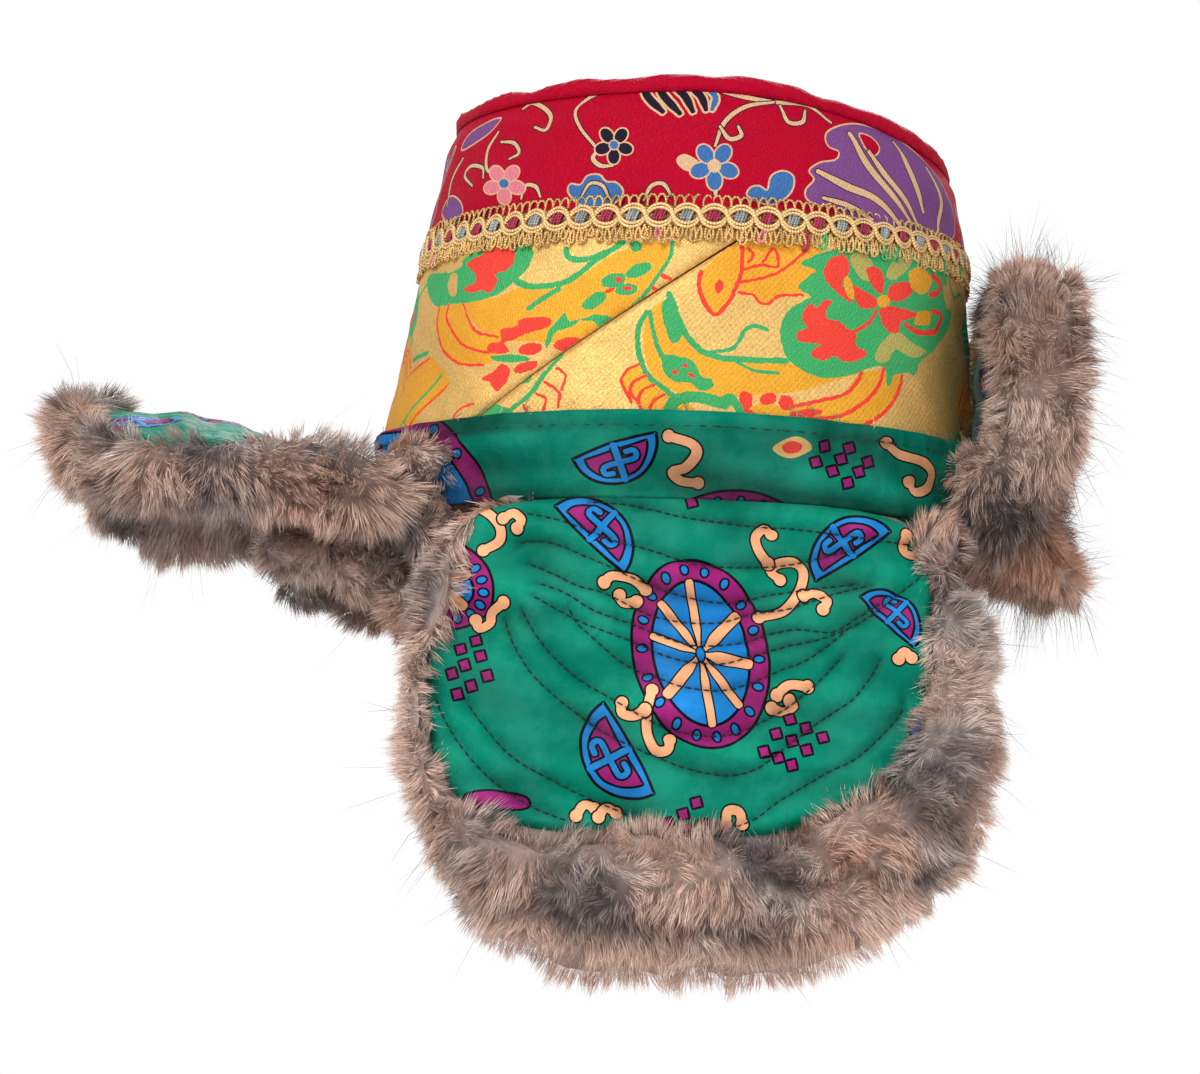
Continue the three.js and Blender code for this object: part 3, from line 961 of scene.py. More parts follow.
CRIMSON_STROKES_PX = [
    ("night", 8, [(637, 84), (645, 97), (660, 112)]),
    ("night", 8, [(652, 83), (662, 97), (677, 114)]),
    ("night", 8, [(668, 84), (681, 94), (690, 112)]),
    ("night", 8, [(687, 86), (698, 95), (703, 110)]),
    ("lake", 6, [(705, 88), (713, 96), (709, 110)]),
    ("cream", 4.5, [(610, 166), (598, 166), (590, 158), (597, 148)]),
    ("cream", 5, [(592, 146), (578, 127), (574, 108), (592, 92), (625, 85), (660, 80), (700, 84),
                  (740, 95), (773, 101), (808, 105), (831, 122)]),
    ("cream", 4.5, [(773, 101), (744, 106), (722, 122), (712, 146)]),
    ("cream", 4.5, [(717, 127), (726, 139), (738, 136), (735, 127)]),
    ("cream", 4.5, [(779, 105), (785, 122), (800, 122), (805, 110)]),
    ("cream", 4.5, [(517, 108), (526, 102), (540, 108), (548, 118), (543, 130), (532, 127)]),
    ("cream", 4.5, [(498, 132), (487, 150), (486, 168), (494, 176)]),
    ("cream", 4, [(500, 142), (512, 143), (517, 153), (508, 159)]),
    ("cream", 4, [(472, 186), (464, 176), (470, 166), (482, 168), (483, 178)]),
    ("cream", 4, [(520, 199), (524, 186), (534, 187), (538, 197)]),
    ("cream", 4, [(712, 184), (712, 198)]),
    ("cream", 3.5, [(580, 196), (588, 184), (600, 186), (606, 198)]),
    ("violet", 6, [(440, 196), (447, 170), (456, 148)]),
    ("cream", 4, [(446, 206), (453, 178), (463, 158)]),
    ("cream", 9, [(848, 134), (862, 160), (886, 190), (910, 224)]),
    ("cream", 9, [(814, 172), (843, 186), (872, 199), (896, 226)]),
    ("cream", 8, [(866, 152), (883, 174), (906, 204), (920, 230)]),
    ("cream", 8, [(895, 143), (908, 174), (924, 212)]),
    ("cream", 7, [(925, 168), (937, 200), (938, 232)]),
    ("cream", 6, [(820, 198), (846, 206), (868, 220)]),
    ("cream", 4, [(640, 200), (648, 186), (660, 184), (668, 196)]),
]
# Small flowers: centre, radius, and the threads of the middle and of the petals
CRIMSON_FLOWERS_PX = [
    ((611, 145), 19, "lake", "night"),
    ((711, 166), 24, "cream", "lake"),
    ((504, 184), 20, "lake", "pink"),
]

# Motifs of the gold brocade in front of the slanting seam, in pixels of the photograph
GOLD_FRONT_PATCHES_PX = [
    ("amber", [(495, 297), (520, 287), (550, 288), (580, 275), (610, 254), (640, 243), (666, 246),
               (654, 274), (624, 309), (600, 330), (570, 345), (540, 342), (500, 340), (478, 330),
               (463, 305)]),
    ("leaf", [(528, 247), (526, 263), (516, 277), (493, 295), (466, 303), (447, 304), (440, 308),
              (431, 303), (427, 292), (429, 275), (449, 272), (460, 266), (466, 257), (500, 243)]),
    ("gold", [(449, 274), (455, 274), (453, 294), (447, 295), (445, 285)]),
    ("coral", [(510, 246), (511, 261), (502, 271), (492, 274), (495, 280), (491, 287), (486, 293),
               (479, 290), (469, 293), (461, 289), (470, 284), (473, 280), (472, 273), (468, 269),
               (465, 265), (470, 260), (478, 256), (487, 250), (498, 246)]),
    ("amber", [(436, 308), (436, 336), (441, 350), (452, 361), (479, 366), (497, 353), (497, 337),
               (480, 334), (466, 318), (461, 304), (447, 306)]),
    ("coral", [(547, 319), (545, 327), (526, 333), (518, 336), (510, 341), (501, 343), (506, 352),
               (487, 353), (486, 344), (498, 341), (498, 330), (515, 326), (517, 320), (535, 317)]),
    ("coral", [(498, 364), (490, 371), (478, 379), (487, 383), (493, 392), (503, 381), (506, 370)]),
    ("leaf", [(542, 348), (545, 333), (553, 321), (562, 313), (565, 321), (577, 319), (567, 327),
              (553, 332), (548, 342)]),
    ("leaf", [(577, 320), (590, 315), (603, 316), (610, 322), (604, 329), (596, 331), (590, 322)]),
    ("amber", [(381, 432), (384, 420), (394, 398), (410, 374), (427, 358), (434, 362), (446, 384),
               (424, 408), (406, 436)]),
]
GOLD_FRONT_OVALS_PX = [
    ("coral", (527, 349), (12, 6), -8), ("coral", (564, 344), (14, 6.5), -12),
    ("coral", (522, 367), (13, 5), -20), ("leaf", (507, 358.5), (20, 4), 2),
    ("leaf", (635, 270.5), (14, 6.5), -25), ("leaf", (610.5, 281), (12, 7.5), -15),
    ("leaf", (591, 301), (14, 6.5), -30), ("leaf", (623, 290), (11, 6), -8),
    ("coral", (615, 280), (3.2, 3.2), 0), ("coral", (607, 291), (6, 2), -25),
    ("coral", (624, 289), (5, 2), 0), ("leaf", (632, 246), (6, 6), 0),
]
GOLD_FRONT_STROKES_PX = [
    ("leaf", 6.5, [(513, 281), (522, 285), (533, 287), (549, 285), (564, 281), (579, 272), (589, 263),
                   (602, 254), (619, 242)]),
    ("leaf", 6, [(562, 249), (565, 257), (576, 260), (588, 258), (601, 252)]),
    ("leaf", 6, [(555, 289), (542, 297), (533, 303), (526, 308)]),
    ("coral", 2.8, [(437, 308), (436, 320), (437, 336), (441, 350), (452, 361), (464, 365), (480, 365)]),
    ("coral", 2.8, [(446, 304), (445, 318), (452, 333), (460, 344), (472, 350), (486, 353)]),
    ("coral", 2.8, [(461, 304), (466, 318), (471, 329), (480, 334), (495, 337)]),
    ("leaf", 4, [(669, 241), (667, 255), (655, 274), (640, 295), (624, 310), (612, 320)]),
    ("coral", 4, [(658, 275), (667, 280), (670, 288), (665, 295)]),
    ("coral", 4, [(649, 288), (657, 294), (658, 301)]),
    ("coral", 4, [(637, 301), (644, 305)]),
    ("coral", 4, [(624, 313), (627, 315)]),
    ("leaf", 4, [(438, 375), (415, 405), (398, 432)]),
    ("coral", 3, [(444, 385), (420, 411), (404, 436)]),
    ("coral", 3, [(427, 358), (405, 378), (389, 408), (383, 432)]),
    ("leaf", 5, [(413, 340), (408, 352), (408, 361), (425, 353)]),
    ("coral", 3, [(472, 404), (460, 408), (452, 416), (450, 424)]),
]
# The same behind the seam
GOLD_BACK_PATCHES_PX = [
    ("amber", [(645, 312), (640, 330), (640, 350), (645, 370), (662, 388), (700, 398), (760, 395),
               (800, 390), (842, 378), (858, 372), (830, 378), (800, 370), (780, 362), (730, 362),
               (700, 356), (684, 342), (672, 318), (664, 300)]),
    ("leaf", [(667, 295), (671, 305), (674, 318), (678, 333), (674, 342), (667, 342), (662, 330),
              (658, 315), (659, 303)]),
    ("leaf", [(657, 358), (665, 355), (676, 357), (688, 361), (693, 369), (698, 377), (708, 379),
              (708, 388), (696, 390), (685, 383), (672, 382), (661, 374)]),
    ("amber", [(635, 365), (622, 371), (617, 383), (624, 395), (640, 412), (655, 420), (690, 412),
               (672, 398), (652, 386)]),
    ("leaf", [(473, 415), (480, 405), (490, 403), (500, 407), (508, 412), (500, 419), (485, 422)]),
    ("coral", [(736, 394), (747, 394), (749, 408), (765, 417), (766, 425), (744, 430), (736, 424)]),
    ("amber", [(745, 409), (760, 404), (786, 412), (780, 424), (765, 422), (752, 414)]),
    ("amber", [(696, 274), (694, 286), (699, 300), (711, 316), (724, 303), (732, 287), (736, 292),
               (750, 296), (757, 305), (766, 305), (775, 296), (797, 295), (815, 280), (822, 262),
               (812, 248), (770, 238), (740, 240), (715, 256)]),
    ("amber", [(787, 407), (815, 400), (842, 392), (856, 374), (882, 371), (899, 377), (898, 392),
               (884, 410), (858, 426), (832, 432), (805, 428), (790, 420)]),
    ("leaf", [(829, 250), (801, 260), (799, 266), (812, 271), (796, 284), (797, 290), (807, 297),
              (788, 308), (778, 322), (777, 341), (785, 360), (800, 371), (823, 378), (848, 375),
              (868, 368), (882, 368), (884, 383), (888, 386), (892, 375), (907, 373), (912, 375),
              (918, 360), (931, 351), (936, 343), (947, 332), (951, 311), (946, 309), (942, 287),
              (946, 282), (932, 256), (900, 248), (860, 246)]),
    ("coral", [(808, 303), (812, 309), (820, 301), (829, 302), (823, 309), (823, 319), (837, 322),
               (844, 330), (852, 332), (852, 346), (863, 352), (858, 359), (842, 362), (831, 356),
               (820, 360), (808, 356), (812, 348), (818, 344), (807, 343), (794, 340), (794, 332),
               (804, 328), (799, 319), (802, 309)]),
    ("sage", [(846, 258), (858, 252), (870, 262), (868, 280), (856, 276)]),
    ("sage", [(872, 352), (885, 336), (897, 333), (912, 345), (924, 352), (908, 358), (893, 350),
              (884, 362), (874, 362)]),
    ("sage", [(884, 276), (890, 262), (908, 260), (902, 272), (892, 280)]),
    ("coral", [(836, 255), (844, 260), (846, 273), (839, 284), (849, 303), (836, 295), (821, 279),
               (823, 263)]),
    ("coral", [(850, 285), (862, 291), (874, 298), (874, 307), (858, 308), (851, 297)]),
    ("coral", [(864, 269), (874, 267), (882, 277), (881, 293), (872, 288), (866, 279)]),
    ("coral", [(888, 287), (899, 282), (912, 284), (911, 292), (900, 301), (888, 300)]),
    ("coral", [(879, 308), (893, 306), (917, 315), (900, 322), (896, 332), (887, 332), (879, 321)]),
    ("amber", [(906, 272), (918, 268), (930, 280), (922, 294), (910, 288)]),
    ("amber", [(917, 312), (930, 312), (928, 324), (914, 324)]),
]
GOLD_BACK_OVALS_PX = [
    ("amber", (846, 288), (4.5, 12), -12), ("amber", (882, 301), (6.5, 6.5), 0),
    ("coral", (681, 366), (3, 2), -20), ("coral", (671, 372.5), (4, 2), 20),
    ("coral", (687, 375.5), (4.5, 2), 25), ("leaf", (519, 378), (9, 6), -10),
    ("coral", (713, 420), (13, 5.5), 5), ("coral", (764, 399), (9, 6), -15),
    ("coral", (782, 403), (8, 8), 0), ("coral", (793, 418), (9, 7), 0),
    ("coral", (805, 413), (14, 4), -6), ("coral", (810, 424), (13, 4), -6),
    ("coral", (820, 434), (14, 4), -6), ("coral", (715, 287), (4, 7), 15),
    ("coral", (722, 437), (8, 4), 10), ("leaf", (962, 410), (4, 9), 10),
    ("leaf", (956, 446), (5, 12), 10), ("coral", (964, 424), (3, 6), 0),
]
GOLD_BACK_STROKES_PX = [
    ("leaf", 5, [(558, 354), (542, 373), (527, 393), (506, 410), (500, 416)]),
    ("coral", 3, [(553, 368), (562, 376), (558, 390)]),
    ("coral", 3, [(541, 382), (555, 393), (553, 407)]),
    ("coral", 3, [(532, 394), (541, 399), (539, 410)]),
    ("coral", 3, [(519, 405), (524, 416)]),
    ("leaf", 6, [(665, 294), (673, 315), (681, 333), (693, 347), (707, 355), (725, 359), (750, 360),
                 (782, 361)]),
    ("leaf", 5, [(643, 312), (635, 327), (634, 347), (639, 367), (647, 379), (660, 389), (674, 401)]),
    ("leaf", 4, [(646, 312), (649, 330), (653, 346), (659, 358)]),
    ("leaf", 4, [(708, 352), (727, 349), (736, 340), (741, 330), (751, 326), (763, 330)]),
    ("leaf", 3.5, [(731, 361), (751, 371), (774, 373)]),
    ("coral", 3, [(635, 364), (622, 371), (617, 382), (623, 393), (627, 402)]),
    ("coral", 3, [(642, 376), (630, 382), (626, 392), (636, 405)]),
    ("coral", 3, [(650, 385), (638, 390), (634, 401), (640, 413)]),
    ("coral", 3, [(660, 395), (649, 401), (646, 410), (653, 419)]),
    ("leaf", 12, [(665, 420), (668, 404), (680, 398), (698, 398), (713, 402), (720, 404)]),
    ("leaf", 8, [(718, 403), (724, 397), (732, 405), (736, 415), (731, 426)]),
    ("coral", 4, [(697, 272), (695, 286), (699, 300), (711, 315), (724, 303), (732, 287), (738, 270),
                  (739, 242)]),
    ("coral", 3, [(734, 293), (750, 296), (755, 303), (765, 304), (775, 296), (799, 295)]),
    ("coral", 3, [(734, 283), (759, 278), (779, 270), (799, 254), (806, 246)]),
    ("coral", 3, [(739, 270), (757, 265), (775, 266), (771, 248), (760, 262)]),
    ("coral", 3, [(745, 248), (750, 255), (745, 262)]),
    ("coral", 4, [(852, 331), (864, 324), (874, 311)]),
    ("coral", 6, [(904, 325), (917, 332), (934, 331), (941, 316), (933, 311)]),
    ("coral", 6, [(930, 276), (939, 284), (936, 293), (928, 295)]),
    ("coral", 4, [(788, 407), (820, 400), (842, 394), (855, 381), (858, 373)]),
    ("coral", 4, [(802, 419), (836, 416), (864, 400), (877, 384), (881, 369)]),
    ("coral", 4, [(832, 431), (858, 426), (884, 410), (898, 389), (900, 376)]),
    ("leaf", 6, [(742, 432), (760, 430), (782, 429), (803, 432), (814, 436)]),
]

# The satin print, in pixels of the photograph
# A lens is its two tips and how far its arc stands off to the right-hand side of the way from
# the first to the second, as a share of half that way.
RIM_LENS_PX = ((567, 459), (651, 432), 0.86)
EAR_LENSES_PX = [
    ((551, 511), (620, 577), -0.82), ((599, 706), (649, 794), 0.95), ((810, 578), (886, 523), -0.8),
    ((854, 591), (908, 640), -0.9),
]
RIM_SQUARES_PX = [(822, 446), (847, 448), (813, 462), (839, 459), (866, 462), (829, 471),
                  (856, 472), (844, 483)]
EAR_SQUARES_PX = [(458, 656), (473, 647), (478, 663), (462, 672), (484, 682), (468, 692), (454, 700),
                  (449, 680), (783, 717), (799, 725), (815, 734), (769, 732), (785, 738), (799, 747),
                  (757, 750), (771, 755), (784, 762), (690, 802), (677, 813), (662, 822), (683, 828),
                  (697, 823), (687, 505)]
RIM_SCROLLS_PX = [
    [(884, 443), (898, 455), (922, 463), (932, 474), (928, 488), (914, 492), (908, 482)],
    [(664, 436), (687, 444), (692, 454), (681, 467), (668, 471), (676, 480), (694, 482)],
]
EAR_SCROLLS_PX = [
    [(753, 617), (777, 610), (793, 590), (798, 570), (790, 560), (773, 562), (765, 571), (774, 579)],
    [(763, 563), (753, 552), (750, 538), (759, 528), (766, 534)],
    [(798, 593), (810, 590), (821, 597), (817, 606)],
    [(641, 593), (628, 583), (609, 580), (600, 587)],
    [(632, 605), (619, 607), (615, 599)],
    [(647, 693), (642, 713), (642, 735), (650, 751), (662, 751), (664, 741)],
    [(640, 712), (628, 718), (617, 716), (617, 706)],
    [(770, 694), (782, 684), (801, 684)],
    [(765, 706), (777, 709), (787, 703), (783, 698)],
    [(473, 510), (488, 520), (497, 533), (495, 546), (480, 555)],
    [(500, 523), (510, 518), (518, 525), (514, 533)],
    [(472, 625), (476, 634), (486, 628), (488, 617), (500, 608)],
    [(903, 524), (900, 540), (910, 544), (921, 538)],
    [(572, 817), (580, 806), (590, 809)],
    [(594, 818), (601, 808), (611, 813)],
    [(719, 822), (721, 809), (732, 809), (735, 820)],
    [(892, 652), (898, 644), (905, 650)],
    [(917, 706), (911, 718), (915, 728)],
]
EAR_WHEEL_PX = {"centre": (695, 655), "radii": (67, 94), "tilt": -11}
LEFT_WHEEL_PX = {"centre": (434, 588), "radii": (58, 46), "tilt": 20}
RIM_WHEEL_PX = {"centre": (400, 560), "radii": (92, 150), "tilt": 0}
CREASE_WHEEL_PX = {"centre": (735, 540), "radii": (78, 50), "tilt": 4}
# Quilting lines on the ear flap, as hanging arcs
QUILTING_PX = [
    [(513, 502), (573, 505), (633, 510), (687, 520), (733, 525), (800, 527), (883, 532), (937, 533)],
    [(520, 517), (557, 525), (587, 535), (613, 545), (640, 552), (667, 560), (690, 565), (720, 568),
     (760, 566), (800, 558), (850, 543)],
    [(513, 547), (533, 545), (557, 550), (580, 560), (600, 568), (633, 583), (667, 595), (700, 602),
     (733, 602), (760, 595), (800, 587), (853, 577)],
    [(523, 567), (547, 577), (573, 590), (600, 597), (633, 613), (653, 620), (687, 625), (717, 623),
     (747, 613), (783, 607), (827, 590), (867, 577)],
    [(533, 587), (560, 597), (587, 613), (613, 623), (633, 630), (660, 640), (690, 647), (733, 643),
     (763, 633), (790, 627), (827, 627), (850, 613), (880, 593)],
    [(527, 600), (560, 617), (587, 630), (613, 640), (633, 647), (660, 658), (687, 663), (720, 663),
     (753, 653), (783, 643), (817, 634), (855, 616), (886, 592), (920, 563)],
    [(563, 610), (573, 627), (590, 643), (613, 662), (633, 673), (653, 680), (677, 688), (717, 690),
     (750, 680), (777, 667), (800, 657), (828, 636), (847, 619)],
    [(517, 613), (530, 637), (550, 662), (573, 682), (600, 698), (627, 713), (653, 725), (680, 733),
     (713, 735), (740, 727), (777, 707), (810, 680), (838, 650)],
    [(500, 623), (510, 650), (527, 677), (547, 697), (573, 717), (600, 735), (627, 747), (653, 758),
     (683, 768), (720, 773), (747, 767), (763, 757), (800, 727), (827, 707), (847, 693), (867, 667),
     (874, 652)],
    [(463, 707), (477, 727), (500, 753), (523, 770), (550, 783), (580, 797), (607, 808), (633, 818),
     (655, 825), (700, 830), (743, 817), (767, 800), (793, 783), (820, 767), (847, 753), (873, 730),
     (893, 707), (897, 693)],
    [(430, 700), (440, 723), (457, 750), (477, 773), (500, 792), (527, 808), (550, 817), (567, 823)],
]
# The usual millimetres of a pixel, for the steps and widths of charted shapes
PX = 0.33
# The step in which the gold brocade's outlines run, as threads do
GOLD_STEP = 0.42


def draw_flower(chart, centre, radius, heart, petal):
    """Five round petals round a small heart, all with pale outlines."""
    for k in range(5):
        a = math.radians(72 * k + 18)
        place = (centre[0] + 0.62 * radius * math.cos(a), centre[1] + 0.62 * radius * math.sin(a))
        chart.oval(petal, place, (radius * 0.44, radius * 0.34), math.degrees(a), "cream", 1.6)
    chart.oval(heart, centre, (radius * 0.26, radius * 0.26), 0, "cream", 1.4)


def draw_spray(chart, thread, second):
    """A forked stem with a flower, a leaf and curls, about 50 across, for where no photo reaches."""
    chart.stroke(thread, [(-24, -14), (-10, -8), (2, 0), (14, 12)], 1.3, "cream", 0.35)
    chart.stroke(thread, [(-4, -4), (-6, 6), (0, 12), (6, 9)], 1.2, "cream", 0.35)
    chart.stroke(second, [(6, 4), (16, 0), (20, -8), (13, -12), (9, -7)], 1.5, "cream", 0.35)
    chart.patch(second, [(-24, -14), (-20, -4), (-10, 0), (-8, -8), (-16, -15)], "cream", 0.6)
    for k in range(5):
        a = math.radians(72 * k)
        chart.oval(second, (16 + 4 * math.cos(a), 14 + 4 * math.sin(a)), (2.8, 2.2),
                   72 * k, "cream", 0.5)
    chart.oval("cream", (16, 14), (1.6, 1.6))


def crimson_chart():
    """The charted left side of the crimson brocade, with sprays over the front and the back."""
    chart = Chart(crown_from_photo, PX)
    for thread, points in CRIMSON_PATCHES_PX:
        chart.patch(thread, points, "cream", 1.8)
    for thread, width, points in CRIMSON_STROKES_PX:
        line, rim = ("night", 1.2) if thread == "cream" else ("cream", 2.2)
        chart.stroke(thread, points, width, line, rim, (0.6, 0.6))
    for centre, radius, heart, petal in CRIMSON_FLOWERS_PX:
        draw_flower(chart, centre, radius, heart, petal)
    chart.go_round()
    flat = Chart(shapes=chart.shapes)
    for middle, flip in ((0, 1), (HALF_ROUND, -1)):
        draw_spray(flat.at(middle, 112, 10, 0.8, flip), "violet", "lake")
    return chart


def top_chart():
    """Sprays in a ring on the round top, about one large flower."""
    chart = Chart()
    for k in range(6):
        a = math.radians(60 * k + 20)
        place = (52 * math.cos(a), 52 * math.sin(a))
        pair = ("violet", "lake") if k % 2 else ("lake", "violet")
        draw_spray(chart.at(*place, 60 * k + 100, 0.95), *pair)
    for k in range(21):
        a, reach = 2.4 * k, 76 + 3 * (k % 3)
        chart.oval(("violet", "lake", "violet")[k % 3], (reach * math.cos(a), reach * math.sin(a)),
                   (4.6 - k % 2, 1.9), math.degrees(a) + 50 + 25 * (k % 3), "cream", 0.6)
    for k in range(8):
        a = math.radians(45 * k)
        chart.oval("lake" if k % 2 else "violet", (13 * math.cos(a), 13 * math.sin(a)), (9, 5),
                   45 * k, "cream", 0.8)
    chart.oval("night", (0, 0), (6.5, 6.5), 0, "cream", 0.9)
    chart.oval("cream", (0, 0), (3, 3))
    return chart


def draw_peony(chart):
    """A large leaf with a peony, a stem and long amber leaves, about 80 across."""
    chart.patch("amber", [(-42, -6), (-20, 8), (0, 4), (10, -10), (-10, -20), (-34, -18)])
    chart.patch("leaf", [(-4, -14), (-14, -4), (-14, 12), (-2, 22), (16, 24), (30, 16), (34, 2),
                         (28, -12), (14, -20)])
    chart.patch("coral", [(0, -8), (-7, -3), (-6, 5), (0, 8), (-2, 15), (8, 13), (13, 18), (18, 10),
                          (26, 8), (22, 0), (26, -6), (16, -8), (12, -14), (6, -9)])
    chart.oval("amber", (9, 2), (3.5, 3.5))
    for rise in (0, 5, 10):
        chart.stroke("coral", [(-40, -8 - rise), (-24, -rise * 0.6), (-8, -6 - rise * 0.3)], 1.1)
    chart.stroke("leaf", [(30, 10), (42, 16), (50, 10), (60, 14)], 1.8)


def gold_chart(patches, ovals, strokes, extra):
    """One cloth of the gold wall: charted on the left side, turned over for the right side."""
    chart = Chart(crown_from_photo, PX, GOLD_STEP)
    flat = Chart(shapes=chart.shapes, pick=GOLD_STEP)
    for x, y, turn, size, flip in extra:
        draw_peony(flat.at(x, y, turn, size, flip))
    for thread, points in patches:
        chart.patch(thread, points)
    for thread, width, points in strokes:
        chart.stroke(thread, points, width)
    for thread, centre, radii, tilt in ovals:
        chart.oval(thread, centre, radii, tilt)
    return chart


# The ways in which a wheel's spokes lie, in degrees down from the right, and the wider ones
SPOKES = (-88, -118, -151, 139, 92, 64, 22, -36)
WIDE_SPOKES = (-36, 22, 139)


def draw_wheel(chart, centre, radii, tilt, beads=18):
    """A printed wheel: a beaded ring round a blue field with spokes and a small hub."""
    cos, sin = math.cos(math.radians(tilt)), math.sin(math.radians(tilt))
    chart.oval("magenta", centre, radii, tilt, "ink", 2.8)
    inner, ring = np.array(radii) - (20, 22), np.array(radii) - (10, 11)

    def on_wheel(angle, share, reach):
        x, y = reach * share * (math.cos(angle), math.sin(angle))
        return centre[0] + cos * x - sin * y, centre[1] + sin * x + cos * y

    for k in range(beads):
        a = 2 * math.pi * (k + 0.5) / beads
        chart.oval("blue", on_wheel(a, 1, ring), (5.6, 4.2), math.degrees(a) + tilt, "ink", 2.0)
    chart.oval("blue", centre, inner, tilt, "ink", 2.8)
    for way in SPOKES:
        a = math.atan2(math.sin(math.radians(way)) / inner[1], math.cos(math.radians(way)) / inner[0])
        width = 10.5 if way in WIDE_SPOKES else 7.5
        chart.stroke("peach", [on_wheel(a, 0.1, inner), on_wheel(a, 0.6, inner), on_wheel(a, 0.97, inner)],
                     width, "ink", 1.5, (0.35, 1))
    chart.oval("blue", centre, (4.5, 7.5), tilt, "ink", 1.6)


LENS_EDGE = [(-1, 0), (-1, 0), (-0.9, 0.4), (-0.62, 0.76), (-0.18, 0.97), (0.3, 0.96), (0.7, 0.7),
             (0.94, 0.32), (1, 0), (1, 0), (0.5, -0.05), (0, -0.07), (-0.5, -0.05)]
LENS_FIELD = [(-0.74, 0.11), (-0.74, 0.11), (-0.7, 0.36), (-0.45, 0.68), (-0.08, 0.82), (0.3, 0.79),
              (0.58, 0.55), (0.72, 0.28), (0.75, 0.11), (0.75, 0.11), (0.3, 0.12), (-0.3, 0.12)]
LENS_HOOKS = [[(0, 0.46), (-0.38, 0.46), (-0.39, 0.64), (-0.22, 0.68)],
              [(0, 0.46), (0.38, 0.46), (0.4, 0.27), (0.22, 0.25)]]


def draw_lens(chart, tip, other, bulge):
    """A printed half lens: a blue border and bar round magenta fields with two hooks."""
    tip, other = np.array(tip, float), np.array(other, float)
    ahead = (other - tip) / 2
    aside = np.array([-ahead[1], ahead[0]]) * bulge
    half = np.linalg.norm(ahead)

    def at(points):
        return [tuple((tip + other) / 2 + ahead * x + aside * y) for x, y in points]

    chart.patch("blue", at(LENS_EDGE), "ink", 3.0)
    chart.patch("magenta", at(LENS_FIELD), "ink", 2.4)
    chart.stroke("ink", at([(0, 0.12), (0, 0.8)]), 0.22 * half)
    for hook in LENS_HOOKS:
        chart.stroke("ink", at(hook), 0.2 * half)
    chart.stroke("blue", at([(0, 0.0), (0, 0.92)]), 0.13 * half)
    for hook in LENS_HOOKS:
        chart.stroke("blue", at(hook), 0.11 * half)


def draw_scroll(chart, points):
    """A printed scroll with bulbs at its ends."""
    for thread, more in (("ink", 1.7), ("peach", 0.0)):
        chart.stroke(thread, points, 9 + 2 * more)
        for end in (points[0], points[-1]):
            chart.oval(thread, end, (6.2 + more, 6.2 + more))


def draw_square(chart, centre, side=10.5, turn=30):
    reach = side / math.sqrt(2)
    corners = [(centre[0] + reach * math.cos(math.radians(90 * k + turn)),
                centre[1] + reach * math.sin(math.radians(90 * k + turn))) for k in range(4)]
    chart.patch("magenta", corners, "ink", 2.6, straight=True)


def rim_chart():
    """The rim's print on the left side, turned over for the right side."""
    chart = Chart(lambda points: crown_from_photo(points, CLOTH), PX)
    draw_wheel(chart, **RIM_WHEEL_PX)
    draw_wheel(chart, **CREASE_WHEEL_PX)
    draw_lens(chart, *RIM_LENS_PX)
    for points in RIM_SCROLLS_PX:
        draw_scroll(chart, points)
    for centre in RIM_SQUARES_PX:
        draw_square(chart, centre)
    chart.patch("gold", [(769, 448), (778, 441), (790, 437), (802, 440), (809, 448), (801, 454),
                         (788, 458), (776, 455)])
    chart.patch("coral", [(778, 446), (788, 441), (799, 445), (795, 452), (783, 453)])
    chart.go_round()
    flat = Chart(shapes=chart.shapes)
    for middle in (-8, HALF_ROUND + 4):
        draw_print_patch(flat.at(middle, 12))
    return chart


def draw_print_patch(chart):
    """A small piece of the print, about 60 across, for where the photo doesn't reach."""
    pixels = Chart(lambda points: chart.place(np.asarray(points, float) * PX), PX * chart.size,
                   shapes=chart.shapes)
    draw_lens(pixels, (-60, 0), (20, -22), 0.85)
    draw_scroll(pixels, [(30, 30), (52, 24), (66, 4), (56, -14), (36, -10), (38, 6)])
    draw_scroll(pixels, [(-80, 34), (-60, 26), (-40, 34), (-34, 50)])
    for x, y in ((84, 20), (98, 30), (80, 38), (94, 46), (70, -34), (84, -26)):
        draw_square(pixels, (x, y))


def ear_chart():
    chart = Chart(ear_from_photo, PX)
    draw_wheel(chart, **LEFT_WHEEL_PX)
    for lens in EAR_LENSES_PX:
        draw_lens(chart, *lens)
    draw_wheel(chart, **EAR_WHEEL_PX)
    for points in EAR_SCROLLS_PX:
        draw_scroll(chart, points)
    for centre in EAR_SQUARES_PX:
        draw_square(chart, centre)
    chart.patch("magenta", [(462, 800), (490, 794), (523, 800), (520, 812), (470, 812)], "ink", 2.5)
    chart.oval("blue", (911, 720), (9, 16), 10, "ink", 2.5)
    return chart


def small_flap_chart():
    """The print on the front and back flaps: a wheel, lenses and scrolls of the same sizes."""
    chart = Chart()
    pixels = Chart(lambda points: np.asarray(points, float) * PX, PX, shapes=chart.shapes)
    draw_wheel(pixels, (10, 150), (78, 66), 12)
    draw_lens(pixels, (-165, 60), (-100, 140), -0.85)
    draw_lens(pixels, (110, 190), (165, 262), 0.85)
    draw_scroll(pixels, [(100, 60), (130, 50), (150, 70), (140, 95), (118, 90)])
    draw_scroll(pixels, [(-150, 210), (-120, 220), (-100, 245), (-120, 265), (-140, 250)])
    draw_scroll(pixels, [(-20, 40), (0, 30), (22, 38), (18, 58)])
    for x, y in ((60, 40), (76, 46), (60, 58), (150, 130), (166, 138), (-60, 250), (-44, 258)):
        draw_square(pixels, (x, y))
    return chart


# Pieces of cloth

def band_outline(low, high, start, end, spacing):
    return straight_through([(start, low), (end, low), (end, high), (start, high)], spacing)


